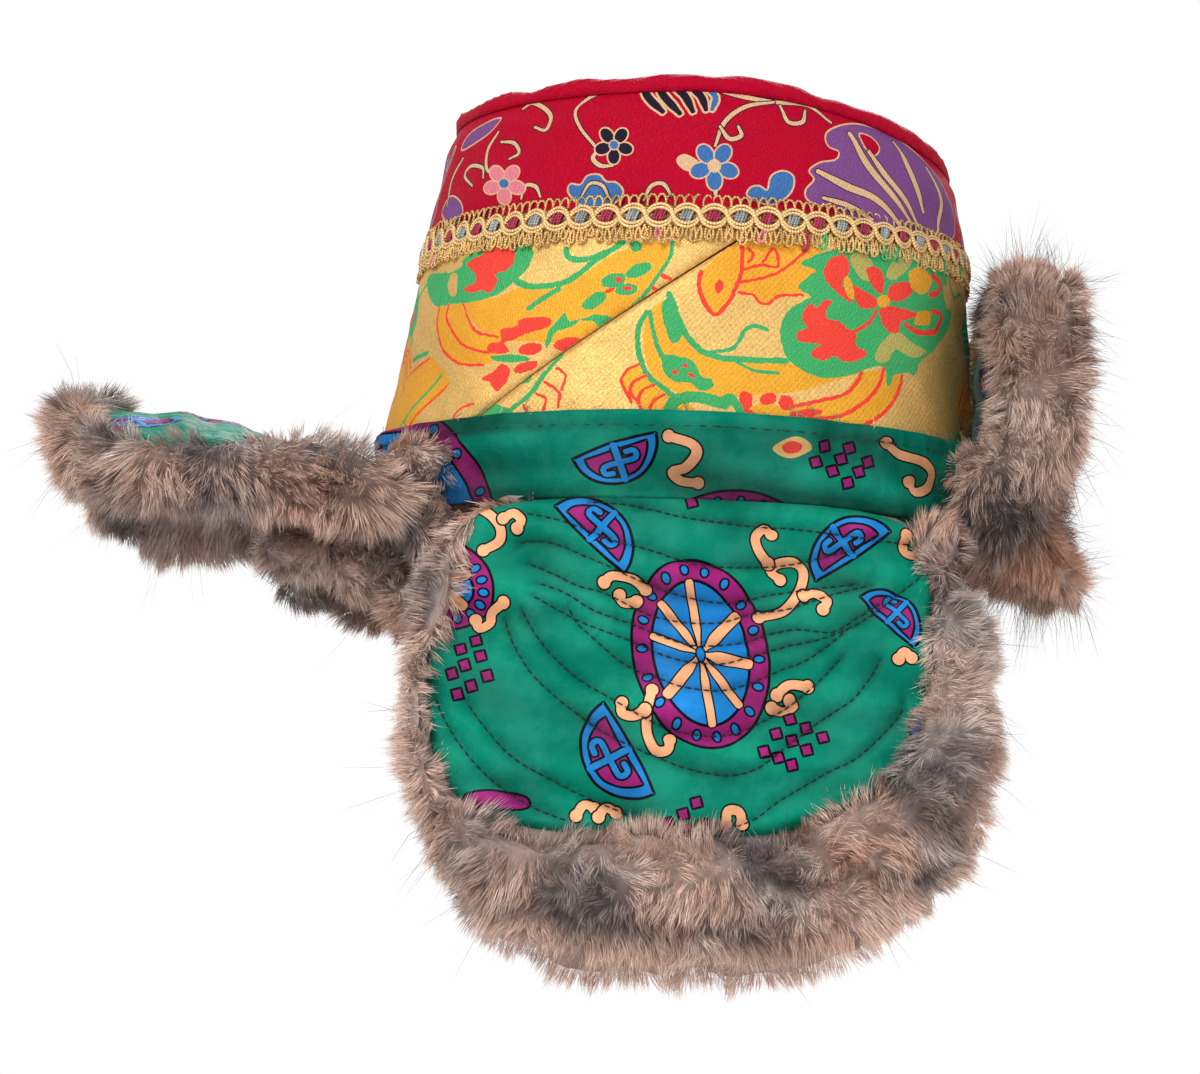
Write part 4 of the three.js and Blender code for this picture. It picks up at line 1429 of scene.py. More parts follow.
def seam_at(height):
    """How far round from the front the slanting seam is, in chart millimetres."""
    share = (height - GOLD_BOTTOM) / (GOLD_TOP - GOLD_BOTTOM)
    return np.radians(mix(SEAM_AT_FOOT, SEAM_AT_BRAID, share)) * CROWN_RADIUS


ROUND_START = -HALF_ROUND / 2
ROUND_END = HALF_ROUND * 1.5


def make_crimson():
    """The crimson band and the round top."""
    palette = thread_colours(settings()[0])
    silk = brocade("crimson brocade", 12.0, 0.35, 0.6, 15.0, 0.5)
    low, high = GOLD_TOP + GAP, CRIMSON_TOP
    middle = (GOLD_TOP + CRIMSON_TOP) / 2

    def belly(flat):
        return 0.4 * (1 - np.abs(flat[:, 1] - middle) / (high - middle))

    def face(flat):
        edge = np.exp(-((high - flat[:, 1]) / 4.5) ** 2)
        return belly(flat) + 0.55 * ripple(flat, 34, 5) * smooth((high - flat[:, 1]) / 5) - 2.2 * edge

    band = make_cloth(
        "crown_band_silk", band_outline(low, high, ROUND_START, ROUND_END, 2.5), crimson_chart(),
        crown_surface, face, palette, "crimson", back=lambda flat: belly(flat) - CLOTH,
        joined_at=(ROUND_START, ROUND_END))
    finish_piece(band, silk, ["crown_band"])

    angle = np.arange(200) / 200 * 2 * math.pi
    disc = np.stack([np.cos(angle), np.sin(angle)], 1) * TOP_FLAT

    def top_face(flat):
        reach = np.hypot(flat[:, 0], flat[:, 1])
        edge = np.exp(-((TOP_FLAT - reach) / 4.5) ** 2)
        return (0.7 * ripple(flat, 40, 8) + 0.3 * ripple(flat, 17, 9)) * smooth((TOP_FLAT - reach) / 6) \
            - 1.9 * edge

    top = make_cloth("crown_top_silk", disc, top_chart(), top_surface, top_face, palette, "crimson",
                     back=lambda flat: np.full(len(flat), -CLOTH), spacing=3.0)
    finish_piece(top, silk, ["crown_top"])


def make_gold():
    """The two gold cloths of the wall, which meet at the slanting seams."""
    palette = thread_colours(settings()[0])
    ribbed = brocade("gold brocade ribbed", 10.0, 0.0, 0.85, 16.0, 0.52)
    canvas = brocade("gold brocade canvas", 12.0, 0.6, 0.7, 11.0, 0.5)
    gap = math.radians(SEAM_GAP) * CROWN_RADIUS
    foot, head = seam_at(GOLD_BOTTOM), seam_at(GOLD_TOP)

    def relief(flat):
        u = np.abs(flat[:, 0])
        u = np.minimum(u, FULL_ROUND - u)
        away = np.abs(u - seam_at(flat[:, 1])) * 0.75
        return (0.5 * ripple(flat, 38, 21) + 0.18 * ripple(flat, 13, 22)) * smooth(away / 5) \
            - 0.8 * np.exp(-(away / 1.3) ** 2)

    front = gold_chart(GOLD_FRONT_PATCHES_PX, GOLD_FRONT_OVALS_PX, GOLD_FRONT_STROKES_PX,
                       [(0, 62, 12, 0.75, 1)])
    front.turn_over(0)
    back = gold_chart(GOLD_BACK_PATCHES_PX, GOLD_BACK_OVALS_PX, GOLD_BACK_STROKES_PX,
                      [(HALF_ROUND + 4, 58, -20, 0.8, -1)])
    back.turn_over(HALF_ROUND)
    corners = {
        "front": [(gap - foot, GOLD_BOTTOM), (foot - gap, GOLD_BOTTOM), (head - gap, GOLD_TOP),
                  (gap - head, GOLD_TOP)],
        "back": [(foot + gap, GOLD_BOTTOM), (FULL_ROUND - foot - gap, GOLD_BOTTOM),
                 (FULL_ROUND - head - gap, GOLD_TOP), (head + gap, GOLD_TOP)],
    }
    for side, chart, silk, flat in (("front", front, ribbed, (0.31, 0.078)),
                                    ("back", back, canvas, (0.41, 0.078))):
        piece = make_cloth(
            f"gold_{side}_silk", straight_through(corners[side], 2.5), chart, crown_surface, relief,
            palette, "gold", back=lambda flat: np.full(len(flat), -CLOTH))
        finish_piece(piece, silk, [f"gold_panel_{side}"])


# How far the rim's topstitching lies below its upper edge, and how far its lower edge is turned
# in under the fold with the flaps
TOPSTITCH_BELOW = 5.0
STITCH_LEVEL = RIM_TOP - TOPSTITCH_BELOW
RIM_TUCK = 1.3
RIM_FOLDS = 35
RIM_FOLD_HEIGHT = 1.1
LOOSE_THREADS = 110


def lying_folds(flat, seed):
    """Soft folds that run along the cloth."""
    return ripple(flat * np.array((0.14, 1.0)), 13, seed)


def rim_tone(flat):
    """Painted shade over the whole rim, deeper in its folds, along its topstitching and down where it meets
    the flaps.
    """
    v = flat[:, 1]
    # seams is painted shade along the topstitching and at the lower edge; the 0.7 darkens the whole rim as
    # painted shade.
    seams = 0.3 * np.exp(-((v - STITCH_LEVEL) / 1.1) ** 2) + 0.4 * np.exp(-(v / 4) ** 2)
    return 0.7 + 0.3 * lying_folds(flat, RIM_FOLDS) + 0.05 * ripple(flat, 15, 36) - seams


def rim_face(flat):
    """The rim's outer face: flared, with a puckered line of topstitching near its top."""
    v = flat[:, 1]
    base = np.interp(v, [0, RIM_TOP * 0.4, RIM_TOP * 0.8, RIM_TOP], [0, 1.4, CLOTH + GAP, CLOTH])
    base = base + RIM_FOLD_HEIGHT * lying_folds(flat, RIM_FOLDS) * smooth(v / 6)
    away = np.abs(v - STITCH_LEVEL)
    groove = -0.7 * np.exp(-(away / 0.9) ** 2)
    pucker = 0.25 * np.sin(flat[:, 0] * 2 * math.pi / 4.6) * np.exp(-(away / 3.5) ** 2)
    return base + groove + pucker + 0.45 * ripple(flat, 21, 31) + 0.2 * ripple(flat, 8, 32)


def make_loose_threads(palette):
    """Threads that have come out of the rim's raw upper edge."""
    frays = Trim()
    rng = np.random.default_rng(77)
    t = np.linspace(0, 1, 7)
    for k in range(LOOSE_THREADS):
        along = rng.uniform(ROUND_START, ROUND_END)
        tall, aside = rng.uniform(1, 6), rng.uniform(-4, 4)
        loose = np.stack([along + aside * t ** 2 + rng.normal(0, 0.25, 7), RIM_TOP - 0.8 + tall * t,
                          1.9 - 0.5 * t + rng.normal(0, 0.2, 7)], 1)
        frays.add(tube(loose, 0.13, 3), palette[("green", "green", "leaf", "peach")[k % 4]])
    return frays.build("rim_loose_threads")


def make_rim():
    """The satin rim with its print, its topstitching and its loose threads."""
    palette = {**thread_colours(settings()[1]), **thread_colours(settings()[0])}
    thread = kept_material("sewing thread", sewing_thread)

    def behind(flat):
        return np.where(flat[:, 1] > GOLD_BOTTOM - GAP, GAP, -CLOTH)

    rim = make_cloth(
        "rim_satin", band_outline(-RIM_TUCK, RIM_TOP, ROUND_START, ROUND_END, 2.2), rim_chart(),
        crown_surface, rim_face, palette, "green", back=behind, spacing=2.0,
        joined_at=(ROUND_START, ROUND_END), tone=rim_tone)
    finish_piece(rim, kept_material("printed satin", printed_satin), ["rim_band"])
    ends = [(ROUND_START + 1, STITCH_LEVEL), (ROUND_END - 1, STITCH_LEVEL)]
    stitches = make_stitches("rim_stitches", [straight_through(ends, 2.0)], crown_surface, rim_face)
    finish_piece(stitches, thread)
    finish_piece(make_loose_threads(palette), thread)


QUILT_PUFF = 4.5
QUILT_GROOVE = 1.4


def quilted_face(outline, lines, depth, seed):
    """The face of a flap's satin: puffed between its quilting lines and turned in at its edge."""
    def face(flat):
        edge = nearest(outline, flat, True)
        radius = mix(1.3, 3.5, smooth(flat[:, 1] / 14))
        rise = (GAP + PANEL) * np.sqrt(np.clip(1 - (1 - np.clip(edge / radius, 0, 1)) ** 2, 0, 1))
        soft = 0.5 * ripple(flat, 26, seed) + 0.25 * ripple(flat, 9, seed + 1)
        soft = soft + 0.45 * lying_folds(flat, seed + 2)
        quilt = 0.0
        if lines:
            away = np.min([nearest(line, flat) for line in lines], 0)
            quilt = 1 - np.exp(-(away / QUILT_PUFF) ** 2)
            quilt = quilt - depth / MM * np.exp(-(away / QUILT_GROOVE) ** 2)
        return rise + (soft + quilt) * smooth(edge / 4)
    return face


def quilted_tone(lines, seed):
    """Painted shade in the quilting lines, along the hinge and in the cloth's soft folds."""
    def tone(flat):
        shade = 0.98 + 0.13 * lying_folds(flat, seed) + 0.1 * ripple(flat, 34, seed + 1)
        # Painted shade along the hinge, where the flap turns under the rim.
        shade = shade - 0.25 * np.exp(-(flat[:, 1] / 3) ** 2)
        if lines:
            away = np.min([nearest(line, flat) for line in lines], 0)
            shade = shade - 0.36 * np.exp(-(away / 1.1) ** 2)
        return shade
    return tone


def ear_quilting(outline):
    """The quilting lines that lie on the flap, as flat curves."""
    curves = [curve_through(ear_from_photo(points), 2.0) for points in QUILTING_PX]
    kept = [curve[inside(outline, curve) & (nearest(outline, curve, True) > 2)] for curve in curves]
    return [curve for curve in kept if len(curve) > 4]


# A stitch's section and, from one end to the other, its shares of the length, its thickness
# and how proud of the cloth it stands
STITCH_SECTION = np.array([(-1, 0), (0, 1), (1, 0), (0, -1)]) * (0.24, 0.2)
STITCH_STOPS = np.array([0, 0.25, 0.75, 1])
STITCH_SWELL = np.array([0.35, 1, 1, 0.35])
STITCH_PROUD = np.array([-0.1, 0.3, 0.3, -0.1])


def make_stitches(name, lines, surface, face):
    """Small stitches along flat lines of sewing, joined into one mesh."""
    size, pitch = settings()[3].stitch / MM, settings()[3].stitch_pitch / MM
    points, triangles = [], []
    for line in lines:
        gone = np.concatenate([[0], np.cumsum(np.linalg.norm(np.diff(line, axis=0), axis=1))])
        for start in np.arange(1.0, gone[-1] - size, pitch):
            stops = start + size * STITCH_STOPS
            flat = np.stack([np.interp(stops, gone, line[:, k]) for k in range(2)], 1)
            left = sideways(flat, False)
            base = face(flat) + STITCH_PROUD
            for k, swell in enumerate(STITCH_SWELL):
                for wide, high in STITCH_SECTION:
                    spot = flat[k] + left[k] * wide * swell
                    points.append((*spot, base[k] + high * swell))
            first = len(points) - 16
            for k in range(3):
                for j in range(4):
                    a, b = first + 4 * k + j, first + 4 * k + (j + 1) % 4
                    triangles += [(a, b, a + 4), (b, b + 4, a + 4)]
            triangles += [(first, first + 2, first + 1), (first, first + 3, first + 2),
                          (first + 12, first + 13, first + 14), (first + 12, first + 14, first + 15)]
    points = np.array(points)
    piece = make_mesh(name, surface(points[:, 0], points[:, 1], points[:, 2]), np.array(triangles))
    point_outwards(piece)
    set_colours(piece, np.tile((*settings()[1].ink, 0.0), (len(piece.data.vertices), 1)), "POINT")
    return piece


def make_satin_flaps():
    """The printed satin of the four flaps, with stitches on the two quilted ones."""
    palette = thread_colours(settings()[1])
    depth = settings()[3].quilt_depth
    satin = kept_material("printed satin", printed_satin)
    thread = kept_material("sewing thread", sewing_thread)
    outline = flap_outline(EAR)
    lines = ear_quilting(outline)
    face = quilted_face(outline, lines, depth, 41)
    for side, surface in (("left", ear_surface), ("right", right_ear_surface)):
        flap = make_cloth(f"ear_{side}_satin", outline, ear_chart(), surface, face, palette, "green",
                          spacing=1.8, lines=lines, tone=quilted_tone(lines, 43))
        finish_piece(flap, satin, [f"ear_flap_{side}"])
        finish_piece(make_stitches(f"ear_{side}_stitches", lines, surface, face), thread)
    for name, flap, surface in (("front", FRONT, front_surface), ("back", BACK, back_surface)):
        outline = flap_outline(flap)
        face = quilted_face(outline, [], depth, 51)
        piece = make_cloth(f"{name}_flap_satin", outline, small_flap_chart(), surface, face, palette,
                           "green", spacing=2.4, tone=quilted_tone([], 53))
        finish_piece(piece, satin, [f"{name}_flap"])


# The braid

def tube(path, radius, sides=6, closed=False):
    """A round tube along points in chart space: along, up and out."""
    along = np.roll(path, -1, 0) - np.roll(path, 1, 0) if closed else np.gradient(path, axis=0)
    along = unit(along)
    out = np.tile((0.0, 0.0, 1.0), (len(path), 1))
    left = unit(np.cross(out, along) + 1e-6)
    out = np.cross(along, left)
    angle = np.arange(sides) / sides * 2 * math.pi
    radius = np.broadcast_to(radius, len(path))[:, None, None]
    points = path[:, None] + radius * (left[:, None] * np.cos(angle)[:, None]
                                       + out[:, None] * np.sin(angle)[:, None])
    count = len(path)
    rows = np.arange(count if closed else count - 1)
    triangles = []
    for j in range(sides):
        a, b = rows * sides + j, rows * sides + (j + 1) % sides
        c, d = (a + sides) % (count * sides), (b + sides) % (count * sides)
        triangles += [np.stack([a, b, c], 1), np.stack([b, d, c], 1)]
    if not closed:
        last = (count - 1) * sides
        for j in range(1, sides - 1):
            triangles.append(np.array([(0, j + 1, j), (last, last + j, last + j + 1)]))
    travelled = np.concatenate([[0], np.cumsum(np.linalg.norm(np.diff(path, axis=0), axis=1))])
    uv = np.stack([np.repeat(travelled, sides), np.tile(angle, count)], 1)
    return points.reshape(-1, 3), np.vstack(triangles), uv


class Trim:
    """Tubes in chart space that become one mesh."""

    def __init__(self):
        self.points, self.triangles, self.uv, self.colours, self.count = [], [], [], [], 0

    def add(self, made, thread):
        points, triangles, uv = made
        self.points.append(points)
        self.triangles.append(triangles + self.count)
        self.uv.append(uv)
        self.colours.append(np.tile(thread, (len(points), 1)))
        self.count += len(points)

    def build(self, name):
        flat = np.vstack(self.points)
        points = crown_surface(flat[:, 0], flat[:, 1], flat[:, 2])
        triangles = np.vstack(self.triangles)
        piece = make_mesh(name, points, triangles)
        point_outwards(piece)
        set_colours(piece, np.vstack(self.colours), "POINT")
        layer = piece.data.uv_layers.new(name="cloth")
        index = np.zeros(len(piece.data.loops), np.int32)
        piece.data.loops.foreach_get("vertex_index", index)
        layer.data.foreach_set("uv", np.vstack(self.uv)[index].astype(np.float32).ravel())
        return piece


CORD_RADIUS = 0.58
CORD_APART = 0.62
CORD_SWING = 3.3
STEPS_PER_EYE = 12
KNOT_STRANDS = 4
PICOT_PITCH = 2.9
LOOP_PITCH = 1.9
LOOP_LENGTH = 5.2
ODD_LOOPS = 0.07
BRAID_MIDDLE = (BRAID_BOTTOM + BRAID_TOP) / 2 + 0.6


def dyed(rng, thread, low, high):
    """A thread's colour, a little lighter or darker."""
    return np.array(thread) * (*rng.uniform(low, high, 1).repeat(3), 1)


def add_cords(trim, thread, eyes):
    """Two pairs of wound cords that cross between the knots."""
    pitch, steps = FULL_ROUND / eyes, eyes * STEPS_PER_EYE
    u = np.arange(steps) / steps * FULL_ROUND
    wave = np.cos(u * math.pi / pitch)
    bulge = CORD_SWING * np.sign(wave) * np.abs(wave) ** 0.55
    for sign in (1, -1):
        over = 1.25 + 0.45 * np.sin(u * math.pi / pitch) * sign
        for offset in (-CORD_APART, CORD_APART):
            v = BRAID_MIDDLE + sign * bulge + offset * np.where(np.abs(wave) > 0.25, 1, 0.6)
            trim.add(tube(np.stack([u, v, over], 1), CORD_RADIUS, 6, True), thread)


def add_knots(trim, rng, palette, eyes):
    """A few short strands in each eye, grey and red by turns."""
    for k in range(eyes):
        thread = palette["garnet" if k % 2 else "steel"]
        for j in range(KNOT_STRANDS):
            u = k * FULL_ROUND / eyes + np.linspace(-1.9, 1.9, 6) * (0.25 + 0.1 * (j % 2)) + (j - 1.5) * 0.9
            v = BRAID_MIDDLE + np.linspace(-2.1, 2.1, 6)
            w = 0.7 + 0.75 * np.sin(np.linspace(0.3, math.pi - 0.3, 6)) + 0.15 * rng.normal()
            trim.add(tube(np.stack([u, v, w], 1), 0.52, 5), dyed(rng, thread, 0.7, 1.25))


def add_picots(trim, rng, thread):
    """Small arches along the upper edge."""
    count = round(FULL_ROUND / PICOT_PITCH)
    a = np.linspace(-0.35, math.pi + 0.35, 8)
    for k in range(count):
        u = (k + 0.5) / count * FULL_ROUND + 1.5 * np.cos(a)
        v = BRAID_TOP - 3.2 + 3.1 * np.sin(a) + 0.15 * rng.normal()
        w = 0.75 + 0.35 * np.sin(a * 2 + k)
        trim.add(tube(np.stack([u, v, w], 1), 0.42, 5), dyed(rng, thread, 0.6, 0.95))


def add_loops(trim, rng, thread, odd):
    """Hanging loops along the lower edge, a few of them in odd colours."""
    count = round(FULL_ROUND / LOOP_PITCH)
    t = np.linspace(0, 1, 9)
    arch = np.sin(t * math.pi)
    for k in range(count):
        centre = k / count * FULL_ROUND + 0.25 * rng.normal()
        tall = LOOP_LENGTH + 0.7 * rng.normal()
        twist = 0.95 * np.sin(t * 2 * math.pi) * (1 if k % 2 else -1)
        u = centre + twist + 0.9 * math.sin(k * 2.4) * arch
        v = BRAID_BOTTOM + 5.4 - tall * arch ** 0.8
        w = 0.7 + 0.5 * np.cos(t * 4 * math.pi + k) * arch + 0.3 * rng.uniform()
        silk = odd[rng.integers(3)] if rng.uniform() < ODD_LOOPS else thread
        trim.add(tube(np.stack([u, v, w], 1), 0.4, 5), dyed(rng, silk, 0.75, 1.2))


def add_dark_bands(trim, thread, steps=220):
    """Three flat dark bands behind the cords, which show between them."""
    u = np.arange(steps) / steps * FULL_ROUND
    for v in (BRAID_MIDDLE - 2.4, BRAID_MIDDLE, BRAID_MIDDLE + 2.4):
        dark_band = tube(np.stack([u, np.full(steps, v), np.full(steps, 0.25)], 1), 1.35, 6, True)
        dark_band[0][:, 2] = np.clip(dark_band[0][:, 2], 0.0, 0.7)
        trim.add(dark_band, np.array(thread) * (0.42, 0.3, 0.3, 1))


def make_braid():
    """Gimp braid: two wound cords that cross round the knots, picots above and loops below."""
    brocades, _, trims, sizes = settings()
    palette = thread_colours(trims)
    rng = np.random.default_rng(14)
    eyes = 2 * round(FULL_ROUND / (sizes.eye_pitch / MM) / 2)
    trim = Trim()
    add_cords(trim, palette["gimp"], eyes)
    add_knots(trim, rng, palette, eyes)
    add_picots(trim, rng, palette["twist"])
    add_loops(trim, rng, palette["twist"],
              [palette["garnet"], (*brocades.leaf, 0.0), (*brocades.pink, 0.0)])
    add_dark_bands(trim, palette["twist"])
    finish_piece(trim.build("gimp_braid"), metal_thread(), ["braid"])


# The fur

# The section round a flap's fur from the cloth's edge on: how far out, where 1 is that edge and
# 2 the fur's, and the rise as shares of the cloth's thickness, of the roll and of the depth
FUR_SECTION = np.array([
    (0.98, 0, 0, 0), (1.03, 1, 0.5, 0), (1.3, 1, 1, 0), (1.7, 1, 0.7, 0), (1.93, 0, 0.3, 0),
    (2, 0, 0, -0.3), (1.93, 0, 0, -0.8), (1.72, 0, 0, -1.1), (1.3, 0, 0, -1.1),
    (0.9, 0, 0, -1.1), (0.45, 0, 0, -1.05), (0, 0, 0, -1),
])
FUR_FLOOR = (0, 0.5)
FUR_AROUND = 132
# The width of border at which the roll of fur reaches its full height
FULL_BORDER = 12.0
# How far the pelt lies inside the fur's outer form
PILE = 5.0
# How far a hair may reach out of the box of the solids before it is cut to a share of its length
MOST_OVERHANG = 11.0
CUT_SHARE = 0.4
# The section's first number counts as this many millimetres where its curve is smoothed
SECTION_WIDTH = 32
# Where a flap has no border, its pelt is drawn in and sunk by this much
DRAWN_IN = 7
SUNK = 3
# Soft round lumps in a pelt, with narrow folds between them
LUMP_WAVE = 62
LUMP_HEIGHT = 5.0
LEVEL_FOLD = 0.85
HAIRS_PER_TUFT = 30


def flap_border(flap, angle):
    """How far the fur's edge lies outside the cloth's."""
    reach = outline_reach(flap["fur"], angle) - outline_reach(flap["cloth"], angle)
    return np.maximum(LEAST_BORDER, reach)


def flap_lap(flap, angle):
    """How far the roll of fur bulges over the cloth."""
    total = np.zeros(np.shape(angle))
    for way, spread, lap in flap["laps"]:
        away = (np.degrees(angle) - way + 180) % 360 - 180
        total = total + lap * np.exp(-(away / spread) ** 2)
    return total


def flap_place(flap, surface, angle, out, rise):
    """A point of a flap's fur, given as an angle and a place in the section."""
    edge, border = outline_reach(flap["cloth"], angle), flap_border(flap, angle)
    reach = np.where(out <= 1, edge * out, edge + mix(GAP, border, np.clip(out - 1, 0, 1)))
    lap = flap_lap(flap, angle)
    over = np.where(rise > -0.01, np.clip((1.6 - out) / 0.55, 0, 1) * (out > 0.97), 0)
    reach = reach - lap * over
    fade = np.where((rise > 0) & (out > 0.97), smooth((border + lap) / FULL_BORDER), 1)
    hidden = (1 - smooth((border + lap - LEAST_BORDER) / 3)) * (out > 0.5)
    reach = reach - DRAWN_IN * hidden
    rise = np.where(rise > -SUNK, rise * (1 - hidden) - SUNK * hidden, rise)
    return surface(reach * np.cos(angle), flap["centre"] + reach * np.sin(angle), rise * fade)


def make_pelt(name, flap, surface, seed):
    """The fur's body, a little inside its outer form, with what its hairs need to grow on it."""
    q, cloth, roll, depth = FUR_SECTION.T
    rise = cloth * PANEL + roll * flap["roll"] + depth * flap["depth"]
    path = curve_through(np.stack([q * SECTION_WIDTH, rise], 1), 2.4)
    out = np.concatenate([FUR_FLOOR, np.clip(path[:, 0] / SECTION_WIDTH, 0, 2)])
    rise = np.concatenate([np.zeros(len(FUR_FLOOR)), path[:, 1]])
    rows = len(out)
    angle = np.repeat(np.arange(FUR_AROUND) / FUR_AROUND * 2 * math.pi, rows)
    out, rise = np.tile(out, FUR_AROUND), np.tile(rise, FUR_AROUND)
    order = np.tile(np.arange(rows), FUR_AROUND)
    points = flap_place(flap, surface, angle, out, rise)
    further = flap_place(flap, surface, angle, np.clip(out + 0.02, 0, 2), rise)
    inner = flap_place(flap, surface, angle, np.clip(out - 0.02, 0, 2), rise)
    flow = unit(further - inner)
    i, j = (g.ravel() for g in np.meshgrid(np.arange(FUR_AROUND), np.arange(rows - 1)))
    a, c = i * rows + j, (i + 1) % FUR_AROUND * rows + j
    triangles = np.vstack([np.stack([a, c, a + 1], 1), np.stack([a + 1, c, c + 1], 1)])
    corner = points[triangles]
    face_normal = np.cross(corner[:, 1] - corner[:, 0], corner[:, 2] - corner[:, 0])
    if (corner[:, 0] * face_normal).sum() < 0:
        triangles, face_normal = triangles[:, ::-1], -face_normal
    normal = np.zeros_like(points)
    for k in range(3):
        np.add.at(normal, triangles[:, k], face_normal)
    normal = unit(normal)
    furred = order > len(FUR_FLOOR)
    fold = np.sqrt(np.abs(ripple(points, LUMP_WAVE, seed)))
    lumps = LUMP_HEIGHT * (fold - LEVEL_FOLD) + 1.1 * ripple(points, 15, seed + 1)
    lumps *= smooth(flap_border(flap, angle) / FULL_BORDER)
    moved = points + normal * (np.where(furred, lumps, 0) - np.where(furred, PILE, 0))[:, None]
    piece = make_mesh(name, moved, triangles)
    merge_doubles(piece, 0.05)
    return piece, {"points": moved, "triangles": triangles, "normal": normal, "flow": flow,
                   "furred": furred, "out": out, "behind": rise < -0.7 * flap["depth"],
                   "fold": fold, "border": flap_border(flap, angle) + flap_lap(flap, angle)}


# Spots of one colour on each side: the place in millimetres, the reach, the colour and its share
FUR_SPOTS = [
    ((45, 124, -18), 26, "rust", 0.9), ((50, 109, -2), 15, "slate", 1.0),
    ((50, 109, -2), 10, "dark", 0.45), ((56, 100, -21), 15, "slate", 1.0),
    ((56, 100, -21), 10, "dark", 0.4), ((60, -82, -26), 14, "cream", 0.6),
    ((58, -80, -40), 14, "rust", 0.6), ((75, -58, -112), 20, "slate", 0.9),
    ((75, -44, -126), 14, "slate", 0.9), ((75, 12, -120), 16, "dark", 0.5),
    ((75, -24, -118), 10, "dark", 0.45), ((75, 62, -90), 17, "slate", 0.8),
    ((75, 88, -60), 22, "cream", 0.55), ((75, -92, -80), 20, "cream", 0.6),
    ((60, 104, 60), 20, "slate", 0.5), ((60, 110, 28), 20, "cream", 0.55),
    ((50, -150, -2), 20, "slate", 0.8), ((50, -185, 6), 16, "slate", 0.5),
    ((50, -120, 10), 16, "rust", 0.6), ((50, -100, -2), 10, "slate", 0.7),
    ((50, -125, -24), 16, "cream", 0.5),
]


def fur_tint(points, out, fold, seed, warm):
    """Colours of root, middle and tip for hairs rooted at the points, with painted shade at the roots and
    in the folds, and a painted highlight at the fur's outer edge.
    """
    trims = settings()[2]
    beige, cream, slate, rust, dark = (np.array(c) for c in (
        trims.beige, trims.cream, trims.slate, trims.rust, trims.dark))
    rng = np.random.default_rng(seed)
    patch = smooth(0.35 + 0.75 * ripple(points, 44, seed + 2))[:, None]
    streak = smooth(0.25 + 0.7 * ripple(points, 13, seed + 3))[:, None]
    glow = smooth(-0.2 + warm + 0.55 * ripple(points, 60, seed + 4))[:, None]
    # deep is painted shade in the folds between the lumps.
    deep = smooth(1.15 - fold * 1.6)[:, None]
    # outer is a painted highlight: it lightens and warms the fur towards its outer edge.
    outer = smooth((out - 1.75) * 4)[:, None]
    base = mix(mix(beige, slate, patch * 0.9 * (1 - 0.7 * outer)), rust,
               np.maximum(glow * 0.6, outer * 0.4))
    base = mix(base, cream, np.maximum(streak * 0.5, outer * 0.4))
    # Painted shade in the folds.
    base = mix(base, dark, deep * 0.45)
    for place, reach, thread, share in FUR_SPOTS:
        away = np.linalg.norm((np.abs(points) * (1, 0, 0) + points * (0, 1, 1) - place), axis=1)
        near = np.exp(-(away / reach) ** 2)[:, None]
        base = mix(base, np.array(getattr(trims, thread)), near * share)
    vary = np.exp(rng.normal(0, 0.12, (len(points), 1)))
    pick = rng.uniform(size=(len(points), 1))
    # Roots are greyer, and darkened to 0.62 as painted shade deep in the pile.
    root = mix(base, slate, 0.4) * 0.62 * vary
    middle = base * vary
    pale = mix(base, cream, 0.3 + 0.3 * outer)
    tip = np.where(pick < 0.78, pale, np.where(pick < 0.92, base, dark * 2.5)) * vary
    return np.clip(root, 0.005, 1), np.clip(middle, 0.005, 1), np.clip(tip, 0.005, 1)


